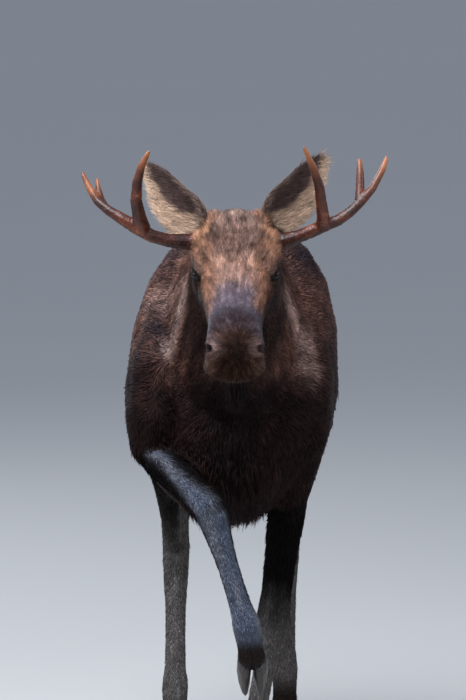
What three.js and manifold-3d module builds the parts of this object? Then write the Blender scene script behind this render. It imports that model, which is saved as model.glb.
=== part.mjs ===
// A young bull moose, walking, with its right foreleg lifted in a high step.
// Millimetres, +Z up. The animal faces -Y, so its left side is at +X.
// Every solid reaches out to the tips of the coat.
import * as THREE from "three";
import { LoftGeometry } from "three/addons/geometries/LoftGeometry.js";
import { mergeVertices } from "three/addons/utils/BufferGeometryUtils.js";
import Module from "manifold-3d";

const wasm = await Module();
wasm.setup();

// ---------------------------------------------------------------- driving dimensions
const GAP = 0.5; // clear space between neighbouring solids
const SHOULDER_HEIGHT = 1800; // floor to the top of the mane on the hump
const CROUP_HEIGHT = 1630;
const BRISKET_HEIGHT = 884; // floor to the chest between the forelegs
const SHOULDER_HALF_WIDTH = 322;
const BELLY_HALF_WIDTH = 332;
const LEAN = 0.05; // sideways lean of the trunk over the loaded left foreleg
const POLL = new THREE.Vector3(10, -650, 1893); // crown of the head between the ears
const HEAD_PITCH = THREE.MathUtils.degToRad(24); // face line below the horizontal
const HEAD_TURN = THREE.MathUtils.degToRad(-0.6);
const EYE_RADIUS = 20;
const EAR_LENGTH = 238;
const EAR_HALF_WIDTH = 66;
const HOOF_LENGTH = 132;
const HOOF_HEIGHT = 74;
const CLAW_WIDTH = 47;
const CORONET_HEIGHT = 70; // sole to the lower end of the leg

const UP = new THREE.Vector3(0, 0, 1);
const DOWN = new THREE.Vector3(0, 0, -1);
const FORWARD = new THREE.Vector3(0, -1, 0);
const BACKWARD = new THREE.Vector3(0, 1, 0);

const COLOURS = {
  coat: { color: 0x3a2a22, roughness: 0.85, metalness: 0 },
  face: { color: 0x6b4c38, roughness: 0.85, metalness: 0 },
  ear: { color: 0x8f8069, roughness: 0.9, metalness: 0 },
  leg: { color: 0x77797c, roughness: 0.8, metalness: 0 },
  antler: { color: 0x5c2f1f, roughness: 0.45, metalness: 0 },
  hoof: { color: 0x1c1917, roughness: 0.5, metalness: 0 },
  eye: { color: 0x140d08, roughness: 0.08, metalness: 0 },
};
const finish = Object.fromEntries(
  Object.entries(COLOURS).map(([name, look]) => [name, new THREE.MeshStandardMaterial(look)]),
);

// ---------------------------------------------------------------- shape helpers
// Stations between the given ones, with every number following a smooth curve through them.
function refine(stations, steps) {
  const fields = Object.keys(stations[0]);
  const along = [0];
  for (let i = 1; i < stations.length; i++) {
    const [a, b] = [stations[i - 1], stations[i]];
    along.push(along[i - 1] + Math.hypot(b.x - a.x, b.y - a.y, b.z - a.z) + 1e-6);
  }
  const slope = (field, i) => {
    const a = Math.max(i - 1, 0);
    const b = Math.min(i + 1, stations.length - 1);
    return (stations[b][field] - stations[a][field]) / (along[b] - along[a]);
  };
  const fine = [];
  for (let i = 0; i < stations.length - 1; i++) {
    const length = along[i + 1] - along[i];
    for (let step = 0; step < steps; step++) {
      const t = step / steps;
      const between = {};
      for (const field of fields) {
        const [from, to] = [stations[i][field], stations[i + 1][field]];
        const rise = length * t * (t - 1) * ((t - 1) * slope(field, i) + t * slope(field, i + 1));
        between[field] = from + (to - from) * t * t * (3 - 2 * t) + rise;
      }
      fine.push(between);
    }
  }
  return [...fine, stations.at(-1)];
}

// A closed body through sections. Each station holds a centre x, y, z, a half width w, the heights
// t above and b below that centre, and the squareness nt and nb of those two halves.
function loft(stations, { sides = 10, steps = 2, up = UP, axis = null, lean = 0, grow = 0 } = {}) {
  const rows = refine(stations.map((s) => ({ nt: 2, nb: 2, ...s })), steps);
  const sections = rows.map((row, i) => {
    const a = rows[Math.max(i - 1, 0)];
    const b = rows[Math.min(i + 1, rows.length - 1)];
    const along = axis ?? new THREE.Vector3(b.x - a.x, b.y - a.y, b.z - a.z).normalize();
    const side = new THREE.Vector3().crossVectors(up, along).normalize();
    const over = new THREE.Vector3().crossVectors(along, side);
    const past = i === 0 ? -grow : i === rows.length - 1 ? grow : 0;
    return Array.from({ length: sides }, (_, k) => {
      const angle = (2 * Math.PI * k) / sides;
      const [c, s] = [Math.cos(angle), Math.sin(angle)];
      const power = 2 / (s >= 0 ? row.nt : row.nb);
      const across = (row.w + grow) * Math.sign(c) * Math.abs(c) ** power;
      const height = ((s >= 0 ? row.t : row.b) + grow) * Math.sign(s) * Math.abs(s) ** power;
      const point = new THREE.Vector3(row.x, row.y, row.z).addScaledVector(along, past);
      point.addScaledVector(side, across).addScaledVector(over, height);
      point.x += lean * (point.z - SHOULDER_HEIGHT * 0.74);
      return point;
    });
  });
  return solid(new LoftGeometry(sections, { capStart: true, capEnd: true }));
}

function solid(geometry) {
  const bare = new THREE.BufferGeometry();
  bare.setAttribute("position", geometry.getAttribute("position"));
  bare.setIndex(geometry.getIndex());
  const merged = mergeVertices(bare, 1e-3);
  return new wasm.Manifold(
    new wasm.Mesh({
      numProp: 3,
      vertProperties: merged.attributes.position.array,
      triVerts: new Uint32Array(merged.index.array),
    }),
  );
}

const ball = (at, radii, rings = 5) => {
  const sphere = new THREE.SphereGeometry(1, Math.round(rings * 1.6), rings);
  return solid(sphere.scale(...radii).translate(...at));
};
const join = (...pieces) => pieces.reduce((whole, piece) => whole.add(piece));
const moved = (whole, matrix) => whole.transform(matrix.elements);
const largest = (whole) => whole.decompose().sort((a, b) => b.volume() - a.volume())[0];

// Everything on the side of a plane that its normal points to.
function halfSpace(point, normal) {
  const size = 6000;
  const box = new THREE.BoxGeometry(size, size, size).translate(0, 0, size / 2);
  const turn = new THREE.Quaternion().setFromUnitVectors(UP, normal.clone().normalize());
  return solid(box.applyQuaternion(turn).translate(point.x, point.y, point.z));
}

// Parts a solid with one thin cut into the piece ahead of the plane and the piece behind it.
function part(whole, point, normal) {
  const n = normal.clone().normalize();
  const ahead = halfSpace(point.clone().addScaledVector(n, GAP / 2), n);
  const behind = halfSpace(point.clone().addScaledVector(n, -GAP / 2), n.clone().negate());
  return [whole.intersect(ahead), whole.intersect(behind)];
}

const group = new THREE.Group();
function add(name, whole, look) {
  const mesh = largest(whole).getMesh();
  const geometry = new THREE.BufferGeometry();
  geometry.setAttribute("position", new THREE.BufferAttribute(mesh.vertProperties, 3));
  geometry.setIndex(new THREE.BufferAttribute(mesh.triVerts, 1));
  geometry.computeVertexNormals();
  const made = new THREE.Mesh(geometry, look);
  made.name = name;
  group.add(made);
}

// ---------------------------------------------------------------- trunk
// top, bottom and widest level of the trunk at places along the body, with the half width there
const trunkPlan = [
  { y: -366, top: 1330, wide: 1222, bottom: 1110, w: 90, nt: 2, nb: 2 },
  { y: -318, top: 1500, wide: 1240, bottom: 1010, w: 186, nt: 2, nb: 2 },
  { y: -225, top: 1665, wide: 1265, bottom: 938, w: 262, nt: 2.2, nb: 1.9 },
  { y: -95, top: 1768, wide: 1285, bottom: 900, w: 304, nt: 2.4, nb: 1.9 },
  { y: 45, top: SHOULDER_HEIGHT, wide: 1290, bottom: BRISKET_HEIGHT, w: SHOULDER_HALF_WIDTH, nt: 2.5, nb: 1.9 },
  { y: 210, top: 1785, wide: 1275, bottom: 876, w: 327, nt: 2.3, nb: 2 },
  { y: 410, top: 1712, wide: 1245, bottom: 874, w: BELLY_HALF_WIDTH, nt: 2.2, nb: 2.1 },
  { y: 620, top: 1652, wide: 1225, bottom: 892, w: BELLY_HALF_WIDTH, nt: 2.1, nb: 2.2 },
  { y: 810, top: 1628, wide: 1240, bottom: 942, w: 316, nt: 2.1, nb: 2.2 },
  { y: 980, top: CROUP_HEIGHT, wide: 1285, bottom: 1022, w: 288, nt: 2, nb: 2 },
  { y: 1130, top: 1606, wide: 1325, bottom: 1092, w: 256, nt: 2, nb: 2 },
  { y: 1250, top: 1545, wide: 1340, bottom: 1150, w: 206, nt: 2, nb: 2 },
  { y: 1325, top: 1468, wide: 1340, bottom: 1210, w: 138, nt: 2, nb: 2 },
  { y: 1354, top: 1398, wide: 1335, bottom: 1268, w: 58, nt: 2, nb: 2 },
];
const asStation = ({ y, top, wide, bottom, ...shape }) => (
  { x: 0, y, z: wide, t: top - wide, b: wide - bottom, ...shape }
);
const barrel = loft(trunkPlan.map(asStation), { sides: 20, axis: BACKWARD, lean: LEAN });

// Shoulder and upper arm on each side, lying on the ribs
const leftArm = loft([
  { x: 150, y: 80, z: 1720, w: 40, t: 60, b: 70 },
  { x: 205, y: -20, z: 1540, w: 76, t: 130, b: 130 },
  { x: 222, y: -130, z: 1340, w: 90, t: 140, b: 165 },
  { x: 208, y: -120, z: 1190, w: 90, t: 138, b: 160 },
  { x: 182, y: -10, z: 1060, w: 82, t: 122, b: 135 },
  { x: 160, y: 12, z: 955, w: 70, t: 98, b: 102 },
], { steps: 1, up: FORWARD });
const rightArm = loft([
  { x: -130, y: 60, z: 1700, w: 40, t: 60, b: 70 },
  { x: -185, y: -50, z: 1530, w: 76, t: 130, b: 130 },
  { x: -222, y: -180, z: 1360, w: 100, t: 140, b: 160 },
  { x: -230, y: -235, z: 1230, w: 98, t: 122, b: 160 },
  { x: -226, y: -205, z: 1135, w: 88, t: 96, b: 130 },
  { x: -212, y: -200, z: 1080, w: 52, t: 62, b: 84 },
], { steps: 1, up: FORWARD });

// ---------------------------------------------------------------- neck and bell
const neckCore = loft([
  { x: 9, y: -655, z: 1748, w: 106, t: 128, b: 122, nt: 2.1, nb: 2.1 },
  { x: 8, y: -560, z: 1716, w: 122, t: 166, b: 186, nt: 2, nb: 2.1 },
  { x: 5, y: -440, z: 1655, w: 148, t: 200, b: 254, nt: 1.9, nb: 2.1 },
  { x: 2, y: -300, z: 1570, w: 186, t: 252, b: 322, nt: 1.9, nb: 2.1 },
  { x: 0, y: -140, z: 1470, w: 236, t: 312, b: 358, nt: 2, nb: 2.1 },
  { x: 0, y: 20, z: 1400, w: 262, t: 362, b: 380, nt: 2, nb: 2.1 },
], { sides: 18, axis: new THREE.Vector3(0, 0.94, -0.34).normalize() });
const bell = (grow) => loft([
  { x: 9, y: -690, z: 1618, w: 46, t: 78, b: 78 },
  { x: 9, y: -686, z: 1530, w: 38, t: 68, b: 62 },
  { x: 9, y: -676, z: 1455, w: 30, t: 50, b: 44 },
  { x: 9, y: -668, z: 1390, w: 21, t: 32, b: 29 },
  { x: 9, y: -662, z: 1345, w: 11, t: 16, b: 14 },
  { x: 9, y: -660, z: 1328, w: 4, t: 6, b: 5 },
], { sides: 10, steps: 1, up: FORWARD, grow });

// ---------------------------------------------------------------- head
// In the head's own frame the poll is the origin and the nose points along -y.
const headFrame = new THREE.Matrix4()
  .makeTranslation(POLL)
  .multiply(new THREE.Matrix4().makeRotationZ(HEAD_TURN))
  .multiply(new THREE.Matrix4().makeRotationX(HEAD_PITCH));
const headPoint = (x, y, z) => new THREE.Vector3(x, y, z).applyMatrix4(headFrame);
const headDirection = (x, y, z) => new THREE.Vector3(x, y, z).transformDirection(headFrame);

const skullPlan = [
  { y: 75, top: -46, wide: -140, bottom: -215, w: 74, nt: 2, nb: 2 },
  { y: 30, top: -12, wide: -135, bottom: -245, w: 104, nt: 2.1, nb: 2 },
  { y: -20, top: 4, wide: -125, bottom: -268, w: 120, nt: 2.3, nb: 2 },
  { y: -75, top: 2, wide: -108, bottom: -284, w: 130, nt: 2.5, nb: 2 },
  { y: -130, top: -8, wide: -104, bottom: -288, w: 134, nt: 2.6, nb: 1.9 },
  { y: -178, top: -20, wide: -104, bottom: -278, w: 133, nt: 2.6, nb: 1.9 },
  { y: -215, top: -30, wide: -112, bottom: -264, w: 122, nt: 2.5, nb: 2 },
  { y: -255, top: -39, wide: -122, bottom: -246, w: 109, nt: 2.3, nb: 2.1 },
  { y: -315, top: -47, wide: -128, bottom: -220, w: 99, nt: 2.2, nb: 2.1 },
  { y: -380, top: -49, wide: -124, bottom: -198, w: 88, nt: 2.1, nb: 2.2 },
  { y: -450, top: -40, wide: -116, bottom: -190, w: 80, nt: 2.1, nb: 2.3 },
  { y: -515, top: -31, wide: -112, bottom: -191, w: 80, nt: 2.3, nb: 2.5 },
  { y: -570, top: -37, wide: -115, bottom: -199, w: 84, nt: 2.6, nb: 2.6 },
  { y: -612, top: -56, wide: -124, bottom: -205, w: 87, nt: 2.8, nb: 2.7 },
  { y: -644, top: -84, wide: -140, bottom: -204, w: 81, nt: 2.7, nb: 2.5 },
  { y: -664, top: -117, wide: -154, bottom: -193, w: 64, nt: 2.3, nb: 2.2 },
  { y: -671, top: -144, wide: -160, bottom: -178, w: 34, nt: 2, nb: 2 },
];
const jawPlan = [
  { y: -55, top: -150, wide: -205, bottom: -278, w: 72, nt: 2, nb: 2 },
  { y: -110, top: -140, wide: -205, bottom: -296, w: 92, nt: 2, nb: 2.2 },
  { y: -190, top: -140, wide: -200, bottom: -284, w: 84, nt: 2, nb: 2.2 },
  { y: -300, top: -150, wide: -195, bottom: -250, w: 64, nt: 2, nb: 2.2 },
  { y: -420, top: -160, wide: -196, bottom: -222, w: 50, nt: 2, nb: 2.2 },
  { y: -505, top: -165, wide: -200, bottom: -224, w: 48, nt: 2.2, nb: 2.3 },
  { y: -562, top: -170, wide: -204, bottom: -235, w: 54, nt: 2.3, nb: 2.3 },
  { y: -598, top: -178, wide: -206, bottom: -232, w: 48, nt: 2.2, nb: 2.2 },
  { y: -617, top: -190, wide: -206, bottom: -220, w: 26, nt: 2, nb: 2 },
];
const skull = loft(skullPlan.map(asStation), { sides: 18, axis: FORWARD });
const jaw = loft(jawPlan.map(asStation), { sides: 12, steps: 1, axis: FORWARD });

const EYE = [107, -205, -97];
const SOCKET = [EYE[0] + 20, EYE[1] - 13, EYE[2] - 1];
const bothSides = ([x, y, z]) => [[x, y, z], [-x, y, z]];
const rightAndLeft = [[-1, "right"], [1, "left"]];
let headShape = skull.add(jaw);
for (const at of bothSides([101, -182, -64])) headShape = headShape.add(ball(at, [28, 50, 28])); // brows
for (const at of bothSides([92, -78, -56])) headShape = headShape.add(ball(at, [37, 46, 34])); // pedicles
for (const at of bothSides([62, -18, -34])) headShape = headShape.add(ball(at, [42, 52, 37])); // corners of the crown
for (const at of bothSides([89, -626, -116])) headShape = headShape.subtract(ball(at, [13, 26, 13])); // nostrils
for (const at of bothSides(SOCKET)) headShape = headShape.subtract(ball(at, [18, 22, 18]));
headShape = moved(headShape, headFrame);
const eye = (side, grow) => {
  const radius = EYE_RADIUS + grow;
  return ball(headPoint(side * EYE[0], EYE[1], EYE[2]).toArray(), [radius, radius, radius]);
};

// ---------------------------------------------------------------- ears
// A cupped leaf: the shares run from the base to the tip. The half width, the depth of the cup and the shift
// towards the middle of the head follow them.
const EAR_PROFILE = [
  { share: -0.1, width: 0.72, cup: 0.3, thick: 40, inwards: 10 },
  { share: 0.04, width: 1.0, cup: 0.5, thick: 32, inwards: 13 },
  { share: 0.18, width: 1.1, cup: 0.64, thick: 20, inwards: 12 },
  { share: 0.34, width: 1.04, cup: 0.64, thick: 14, inwards: 4 },
  { share: 0.52, width: 0.92, cup: 0.56, thick: 12, inwards: 0 },
  { share: 0.7, width: 0.72, cup: 0.4, thick: 11, inwards: 0 },
  { share: 0.85, width: 0.46, cup: 0.22, thick: 10, inwards: 0 },
  { share: 0.95, width: 0.22, cup: 0.09, thick: 9, inwards: 0 },
  { share: 1, width: 0.08, cup: 0.03, thick: 6, inwards: 0 },
];
function ear({ base, tip, opening }, grow) {
  const axis = tip.clone().sub(base).normalize();
  const back = opening.clone().negate();
  back.addScaledVector(axis, -back.dot(axis)).normalize();
  const side = new THREE.Vector3().crossVectors(back, axis);
  const points = 6; // along each face of the leaf
  const middle = -Math.sign(base.x * side.x); // the way along the side that leads to the middle of the head
  const sections = EAR_PROFILE.map(({ share, width, cup, thick, inwards }, i) => {
    const centre = tip.clone().addScaledVector(axis, (share - 1) * EAR_LENGTH - (i === 0 ? grow : 0));
    centre.addScaledVector(back, 10 * Math.sin(Math.PI * share)).addScaledVector(side, middle * inwards);
    const edge = (s, face) => {
      const out = (thick / 2) * Math.sqrt(1 - 0.75 * s * s) + grow;
      const across = s * (width * EAR_HALF_WIDTH + grow);
      const behind = face * out - s * s * cup * EAR_HALF_WIDTH;
      return centre.clone().addScaledVector(side, across).addScaledVector(back, behind);
    };
    const shares = Array.from({ length: points }, (_, k) => 1 - (2 * k) / (points - 1));
    return [...shares.map((s) => edge(s, 1)), ...shares.map((s) => edge(-s, -1))];
  });
  return solid(new LoftGeometry(sections, { capStart: true, capEnd: true }));
}
const EARS = {
  right: {
    base: new THREE.Vector3(-116, -626, 1852),
    tip: new THREE.Vector3(-249, -552, 2024),
    opening: new THREE.Vector3(-0.58, -0.8, 0.1),
  },
  left: {
    base: new THREE.Vector3(122, -626, 1860),
    tip: new THREE.Vector3(262, -560, 2050),
    opening: new THREE.Vector3(0.52, -0.85, 0.1),
  },
};

// ---------------------------------------------------------------- antlers
// Each branch is a tapering round bar through points x, y, z with a radius.
const branch = (points, grow = 0) =>
  loft(
    points.map(([x, y, z, r]) => ({ x, y, z, w: r, t: r, b: r })),
    { sides: 8, steps: 1, up: new THREE.Vector3(0, -0.96, 0.28), grow },
  );
const ANTLERS = {
  right: {
    beam: [
      [-96, -690, 1800, 24], [-128, -702, 1806, 25], [-190, -724, 1812, 20], [-236, -738, 1826, 20],
      [-280, -745, 1851, 21], [-322, -742, 1876, 18], [-362, -730, 1900, 15], [-394, -712, 1925, 13],
      [-418, -695, 1962, 11], [-436, -682, 1998, 7], [-441, -678, 2010, 3],
    ],
    brow_tine: [
      [-262, -745, 1848, 24], [-272, -772, 1884, 21], [-281, -802, 1936, 17.5], [-277, -832, 1990, 15],
      [-264, -860, 2040, 11.5], [-246, -882, 2076, 7], [-240, -888, 2086, 3],
    ],
    rear_tine: [
      [-366, -728, 1902, 12], [-384, -706, 1928, 11.5], [-393, -684, 1958, 9], [-396, -668, 1984, 5], [-396, -664, 1990, 2.5],
    ],
  },
  left: {
    beam: [
      [116, -690, 1798, 24], [150, -702, 1808, 25], [192, -722, 1824, 20], [236, -736, 1843, 20],
      [270, -742, 1860, 20], [306, -740, 1872, 17], [342, -732, 1897, 16], [374, -720, 1928, 15],
      [406, -704, 1962, 12.5], [434, -688, 2012, 10.5], [446, -680, 2044, 7], [449, -678, 2057, 3],
    ],
    brow_tine: [
      [262, -740, 1850, 22], [262, -768, 1884, 19], [256, -800, 1930, 16.5], [250, -828, 1978, 14.5],
      [232, -856, 2034, 11.5], [210, -880, 2084, 7], [203, -886, 2098, 3],
    ],
    rear_tine: [
      [366, -722, 1920, 13], [370, -704, 1958, 13], [371, -688, 2004, 11.5], [369, -676, 2036, 8], [368, -672, 2048, 4],
    ],
  },
};

// ---------------------------------------------------------------- legs
// Half width w and half depth d, deeper at the back, at shares of the way from one joint to the next
const FORE_SHAPE = [
  { joint: 0, share: -0.1, w: 52, d: 70, back: 8 },
  { joint: 0, share: 0.1, w: 68, d: 92, back: 10 },
  { joint: 0, share: 0.46, w: 58, d: 69, back: 0 },
  { joint: 0, share: 0.8, w: 52, d: 53, back: 0 },
  { joint: 1, share: 0, w: 57, d: 57, back: 4 },
  { joint: 1, share: 0.2, w: 47, d: 47, back: 2 },
  { joint: 1, share: 0.5, w: 36, d: 38, back: 0 },
  { joint: 1, share: 0.84, w: 37, d: 40, back: 2 },
  { joint: 2, share: 0, w: 45, d: 47, back: 8 },
  { joint: 2, share: 0.5, w: 41, d: 41, back: 4 },
  { joint: 3, share: 0, w: 43, d: 45, back: 0 },
];
const HIND_SHAPE = [
  { joint: 0, share: 0, w: 112, d: 220, back: 0 },
  { joint: 0, share: 0.5, w: 112, d: 206, back: -10 },
  { joint: 1, share: 0, w: 96, d: 160, back: -36 },
  { joint: 1, share: 0.32, w: 72, d: 108, back: -4 },
  { joint: 1, share: 0.68, w: 51, d: 64, back: 14 },
  { joint: 2, share: -0.04, w: 49, d: 54, back: 30 },
  { joint: 2, share: 0.18, w: 45, d: 50, back: 14 },
  { joint: 2, share: 0.45, w: 37, d: 41, back: 2 },
  { joint: 2, share: 0.86, w: 37, d: 40, back: 3 },
  { joint: 3, share: 0, w: 45, d: 47, back: 8 },
  { joint: 3, share: 0.5, w: 41, d: 41, back: 4 },
  { joint: 4, share: 0, w: 43, d: 45, back: 0 },
];
function limb({ joints, shape }, grow = 0) {
  const stations = shape.map(({ joint, share, w, d, back }) => {
    const from = new THREE.Vector3(...joints[joint]);
    const to = new THREE.Vector3(...joints[Math.min(joint + 1, joints.length - 1)]);
    const { x, y, z } = from.lerp(to, share);
    return { x, y, z, w, t: d, b: d + back };
  });
  return loft(stations, { up: FORWARD, grow });
}

// Joint centres: elbow, knee, fetlock and coronet in front; hip, stifle, hock, fetlock and coronet behind.
// The toes of the lifted foot droop by its pitch.
const LEGS = {
  left_foreleg: {
    shape: FORE_SHAPE,
    joints: [[174, 15, 1010], [122, -8, 592], [58, 24, 222], [44, -16, CORONET_HEIGHT]],
    pitch: 0,
  },
  right_foreleg: {
    shape: FORE_SHAPE,
    joints: [[-226, -190, 1118], [-68, -545, 1003], [40, -530, 652], [58, -484, 540]],
    pitch: 48,
  },
  left_hind_leg: {
    shape: HIND_SHAPE,
    joints: [[152, 1090, 1330], [188, 1000, 1005], [176, 1335, 672], [170, 1432, 224], [170, 1392, CORONET_HEIGHT]],
    pitch: 0,
  },
  right_hind_leg: {
    shape: HIND_SHAPE,
    joints: [[-150, 1070, 1330], [-192, 890, 1005], [-184, 1158, 640], [-186, 1040, 224], [-188, 992, CORONET_HEIGHT]],
    pitch: 0,
  },
};

// ---------------------------------------------------------------- feet
// One claw standing on z = 0 with its toe along -y; side is 1 for the claw on +x.
function claw(side) {
  const outline = (length, width, height, back, pinch) =>
    Array.from({ length: 10 }, (_, k) => {
      const angle = (2 * Math.PI * k) / 10;
      const forward = (1 - Math.cos(angle)) / 2; // 0 at the heel, 1 at the toe
      const half = (width / 2) * Math.sin(angle) * (1 - pinch * forward);
      const bow = -side * 0.16 * width * (forward - 0.4);
      return new THREE.Vector3(side * (width / 2 + 2) + half + bow, back - length * (forward - 0.5), height);
    }).reverse();
  return solid(new LoftGeometry([
    outline(HOOF_LENGTH * 0.97, CLAW_WIDTH, 0, -6, 0.45),
    outline(HOOF_LENGTH, CLAW_WIDTH + 2, 9, -4, 0.42),
    outline(HOOF_LENGTH * 0.76, CLAW_WIDTH - 2, HOOF_HEIGHT * 0.74, 8, 0.2),
    outline(HOOF_LENGTH * 0.54, CLAW_WIDTH - 12, HOOF_HEIGHT, 16, 0.1),
  ], { capStart: true, capEnd: true }));
}
const dewclaw = (side) =>
  solid(new THREE.SphereGeometry(1, 6, 4).scale(15, 17, 29).rotateX(0.5).translate(side * 25, 72, 92));

// ---------------------------------------------------------------- joining and parting
// A limb, ear, antler or eye sits in a socket a gap wider than itself.
let torso = join(barrel, neckCore, leftArm, rightArm);
for (const [name, leg] of Object.entries(LEGS)) {
  let shape = limb(leg);
  let sunk = limb(leg, GAP);
  if (leg.shape === HIND_SHAPE) {
    const groin = new THREE.Vector3(0, 0, 1050);
    const [thigh, shank] = part(shape, groin, UP);
    torso = torso.add(thigh);
    [shape, sunk] = [shank, sunk.intersect(halfSpace(groin.setZ(1050 + GAP / 2), DOWN))];
  }
  torso = torso.subtract(sunk);
  const foot = new THREE.Matrix4()
    .makeTranslation(...leg.joints.at(-1))
    .multiply(new THREE.Matrix4().makeRotationX(THREE.MathUtils.degToRad(leg.pitch)))
    .multiply(new THREE.Matrix4().makeTranslation(0, -14, -CORONET_HEIGHT));
  for (const [side, hand] of rightAndLeft) {
    add(`${name}_${hand}_claw`, moved(claw(side), foot).subtract(limb(leg, GAP)), finish.hoof);
    const small = moved(dewclaw(side), foot);
    add(`${name}_${hand}_dewclaw`, small.subtract(limb(leg, GAP)), finish.hoof);
  }
  add(name, shape, leg.shape === FORE_SHAPE ? finish.leg : finish.coat);
}

const tail = (grow) => loft([
  { x: 0, y: 1290, z: 1450, w: 27, t: 23, b: 23 },
  { x: 0, y: 1350, z: 1428, w: 29, t: 24, b: 24 },
  { x: 0, y: 1388, z: 1388, w: 27, t: 22, b: 22 },
  { x: 0, y: 1402, z: 1340, w: 20, t: 15, b: 15 },
  { x: 0, y: 1402, z: 1316, w: 8, t: 6, b: 6 },
], { sides: 8, steps: 1, up: new THREE.Vector3(0, 0.5, 0.86), grow });
add("tail", tail(0), finish.coat);
torso = torso.subtract(tail(GAP));

const withers = new THREE.Vector3(0, -250, 1560);
const [front, trunk] = part(torso, withers, new THREE.Vector3(0, -0.93, 0.36));
add("trunk", trunk, finish.coat);

const nape = new THREE.Vector3(0, -612, 1900);
let [head, neck] = part(front.add(headShape), nape, FORWARD);
head = head.subtract(bell(GAP));
neck = neck.subtract(bell(GAP));
add("bell", bell(0), finish.coat);
for (const [side, hand] of rightAndLeft) {
  head = head.subtract(eye(side, GAP));
  add(`${hand}_eye`, eye(side, 0), finish.eye);

  const burr = headPoint(side * 114, -80, -57);
  const outward = headDirection(side, 0, 0.15);
  const { beam, brow_tine, rear_tine } = ANTLERS[hand];
  head = head.subtract(branch(beam, GAP).intersect(halfSpace(burr.clone().addScaledVector(outward, -GAP), outward)));
  add(`${hand}_antler_beam`, branch(beam).intersect(halfSpace(burr, outward)), finish.antler);
  add(`${hand}_antler_brow_tine`, branch(brow_tine).subtract(branch(beam, GAP)), finish.antler);
  add(`${hand}_antler_rear_tine`, branch(rear_tine).subtract(branch(beam, GAP)), finish.antler);

  const leaf = ear(EARS[hand], GAP);
  head = head.subtract(leaf);
  neck = neck.subtract(leaf);
  add(`${hand}_ear`, ear(EARS[hand], 0), finish.ear);
}
add("neck", neck, finish.coat);
add("head", head, finish.face);

// The frame's origin is on the floor, under the middle of the whole animal.
const box = new THREE.Box3().setFromObject(group);
const middle = box.getCenter(new THREE.Vector3());
group.position.set(-middle.x, -middle.y, -box.min.z);

export default group;
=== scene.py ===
# %% [markdown]
# # A young bull moose in a high step
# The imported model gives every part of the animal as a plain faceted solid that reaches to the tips
# of the hair. Here one soft skin is modelled inside those solids, and real tufts of hair are planted on it.
# Everything is in metres: +Z is up, the animal faces -Y, and its left side is toward +X.

# %% Load the frame
import math

import bmesh
import bpy
import numpy as np
from mathutils import Matrix, Vector
from mathutils.bvhtree import BVHTree


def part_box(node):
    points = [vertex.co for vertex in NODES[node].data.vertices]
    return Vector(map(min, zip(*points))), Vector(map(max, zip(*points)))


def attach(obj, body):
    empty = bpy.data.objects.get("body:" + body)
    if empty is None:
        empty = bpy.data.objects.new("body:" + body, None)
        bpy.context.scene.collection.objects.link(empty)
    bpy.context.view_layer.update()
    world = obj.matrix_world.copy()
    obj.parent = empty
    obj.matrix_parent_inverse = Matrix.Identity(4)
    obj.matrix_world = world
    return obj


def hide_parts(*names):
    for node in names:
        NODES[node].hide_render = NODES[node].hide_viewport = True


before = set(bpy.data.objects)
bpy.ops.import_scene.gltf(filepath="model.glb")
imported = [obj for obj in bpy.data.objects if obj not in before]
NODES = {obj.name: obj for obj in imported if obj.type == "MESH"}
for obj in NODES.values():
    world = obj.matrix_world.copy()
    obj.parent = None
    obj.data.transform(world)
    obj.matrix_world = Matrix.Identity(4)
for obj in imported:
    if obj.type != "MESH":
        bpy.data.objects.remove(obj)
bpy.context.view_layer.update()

# %% [markdown]
# ## Camera, floor and light
# A long lens far in front of the animal keeps its proportions true, as a person watching from a safe
# distance sees them. The floor is a wide pale sheet, and the light is that of a bright overcast sky:
# a very large cool panel overhead, a weaker warm one in front, a lamp at each side that draws the edge of
# the flanks, a panel behind for the rump, and a dim sky all round.

# %% Camera
AIM = Vector((-0.0044, -1.2877, 1.536))  # inside the tip of the nose
DISTANCE = 18.0
ELEVATION = math.radians(6)
LENS = 324.8  # millimetres
SENSOR = 36  # millimetres

back = Vector((0, -math.cos(ELEVATION), math.sin(ELEVATION)))
camera_data = bpy.data.cameras.new("camera")
camera_data.lens = LENS
camera_data.sensor_fit = "VERTICAL"
camera_data.sensor_height = SENSOR
camera_data.clip_end = 1000
camera = bpy.data.objects.new("camera", camera_data)
camera.location = AIM + back * DISTANCE
camera.rotation_euler = back.to_track_quat("Z", "Y").to_euler()
bpy.context.scene.collection.objects.link(camera)
bpy.context.scene.camera = camera
print("camera at", tuple(round(v, 3) for v in camera.location))

# %% [markdown]
# ### Small tools for materials
# A finish is a handful of nodes that feed the principled shader. Written out node by node and link by
# link it is long and hard to read, so one helper adds a node and sets or links its inputs by name.


# %% Material helpers
def give(socket, value):
    """Sets an input socket to a value, or links another node's output to it."""
    if isinstance(value, bpy.types.NodeSocket):
        socket.id_data.links.new(value, socket)
    else:
        socket.default_value = value


def add_node(nodes, kind, **values):
    """A node; names that it has as settings are set on it, the others on its input sockets."""
    node = nodes.new(kind)
    for name, value in values.items():
        if hasattr(node, name):
            setattr(node, name, value)
        else:
            give(node.inputs[name.replace("_", " ")], value)
    return node


def dress(nodes, **sockets):
    """Sets or links inputs of a material's shader."""
    for name, value in sockets.items():
        give(nodes["Principled BSDF"].inputs[name.replace("_", " ")], value)


def new_material(name, roughness, **sockets):
    """A principled material with plain numbers set on its own sockets, and its nodes."""
    material = bpy.data.materials.new(name)
    material.use_nodes = True
    nodes = material.node_tree.nodes
    dress(nodes, Roughness=roughness, **sockets)
    return material, nodes


def noise(nodes, scale, **values):
    """A noise texture on the object's own coordinates."""
    place = nodes.new("ShaderNodeTexCoord").outputs["Object"]
    return add_node(nodes, "ShaderNodeTexNoise", Scale=scale, Vector=place, **values)


# %% Floor
FLOOR_COLOUR = np.array((0.40, 0.39, 0.38))  # the share of red, green and blue light that it throws back
HALF_FLOOR = 150


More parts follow.
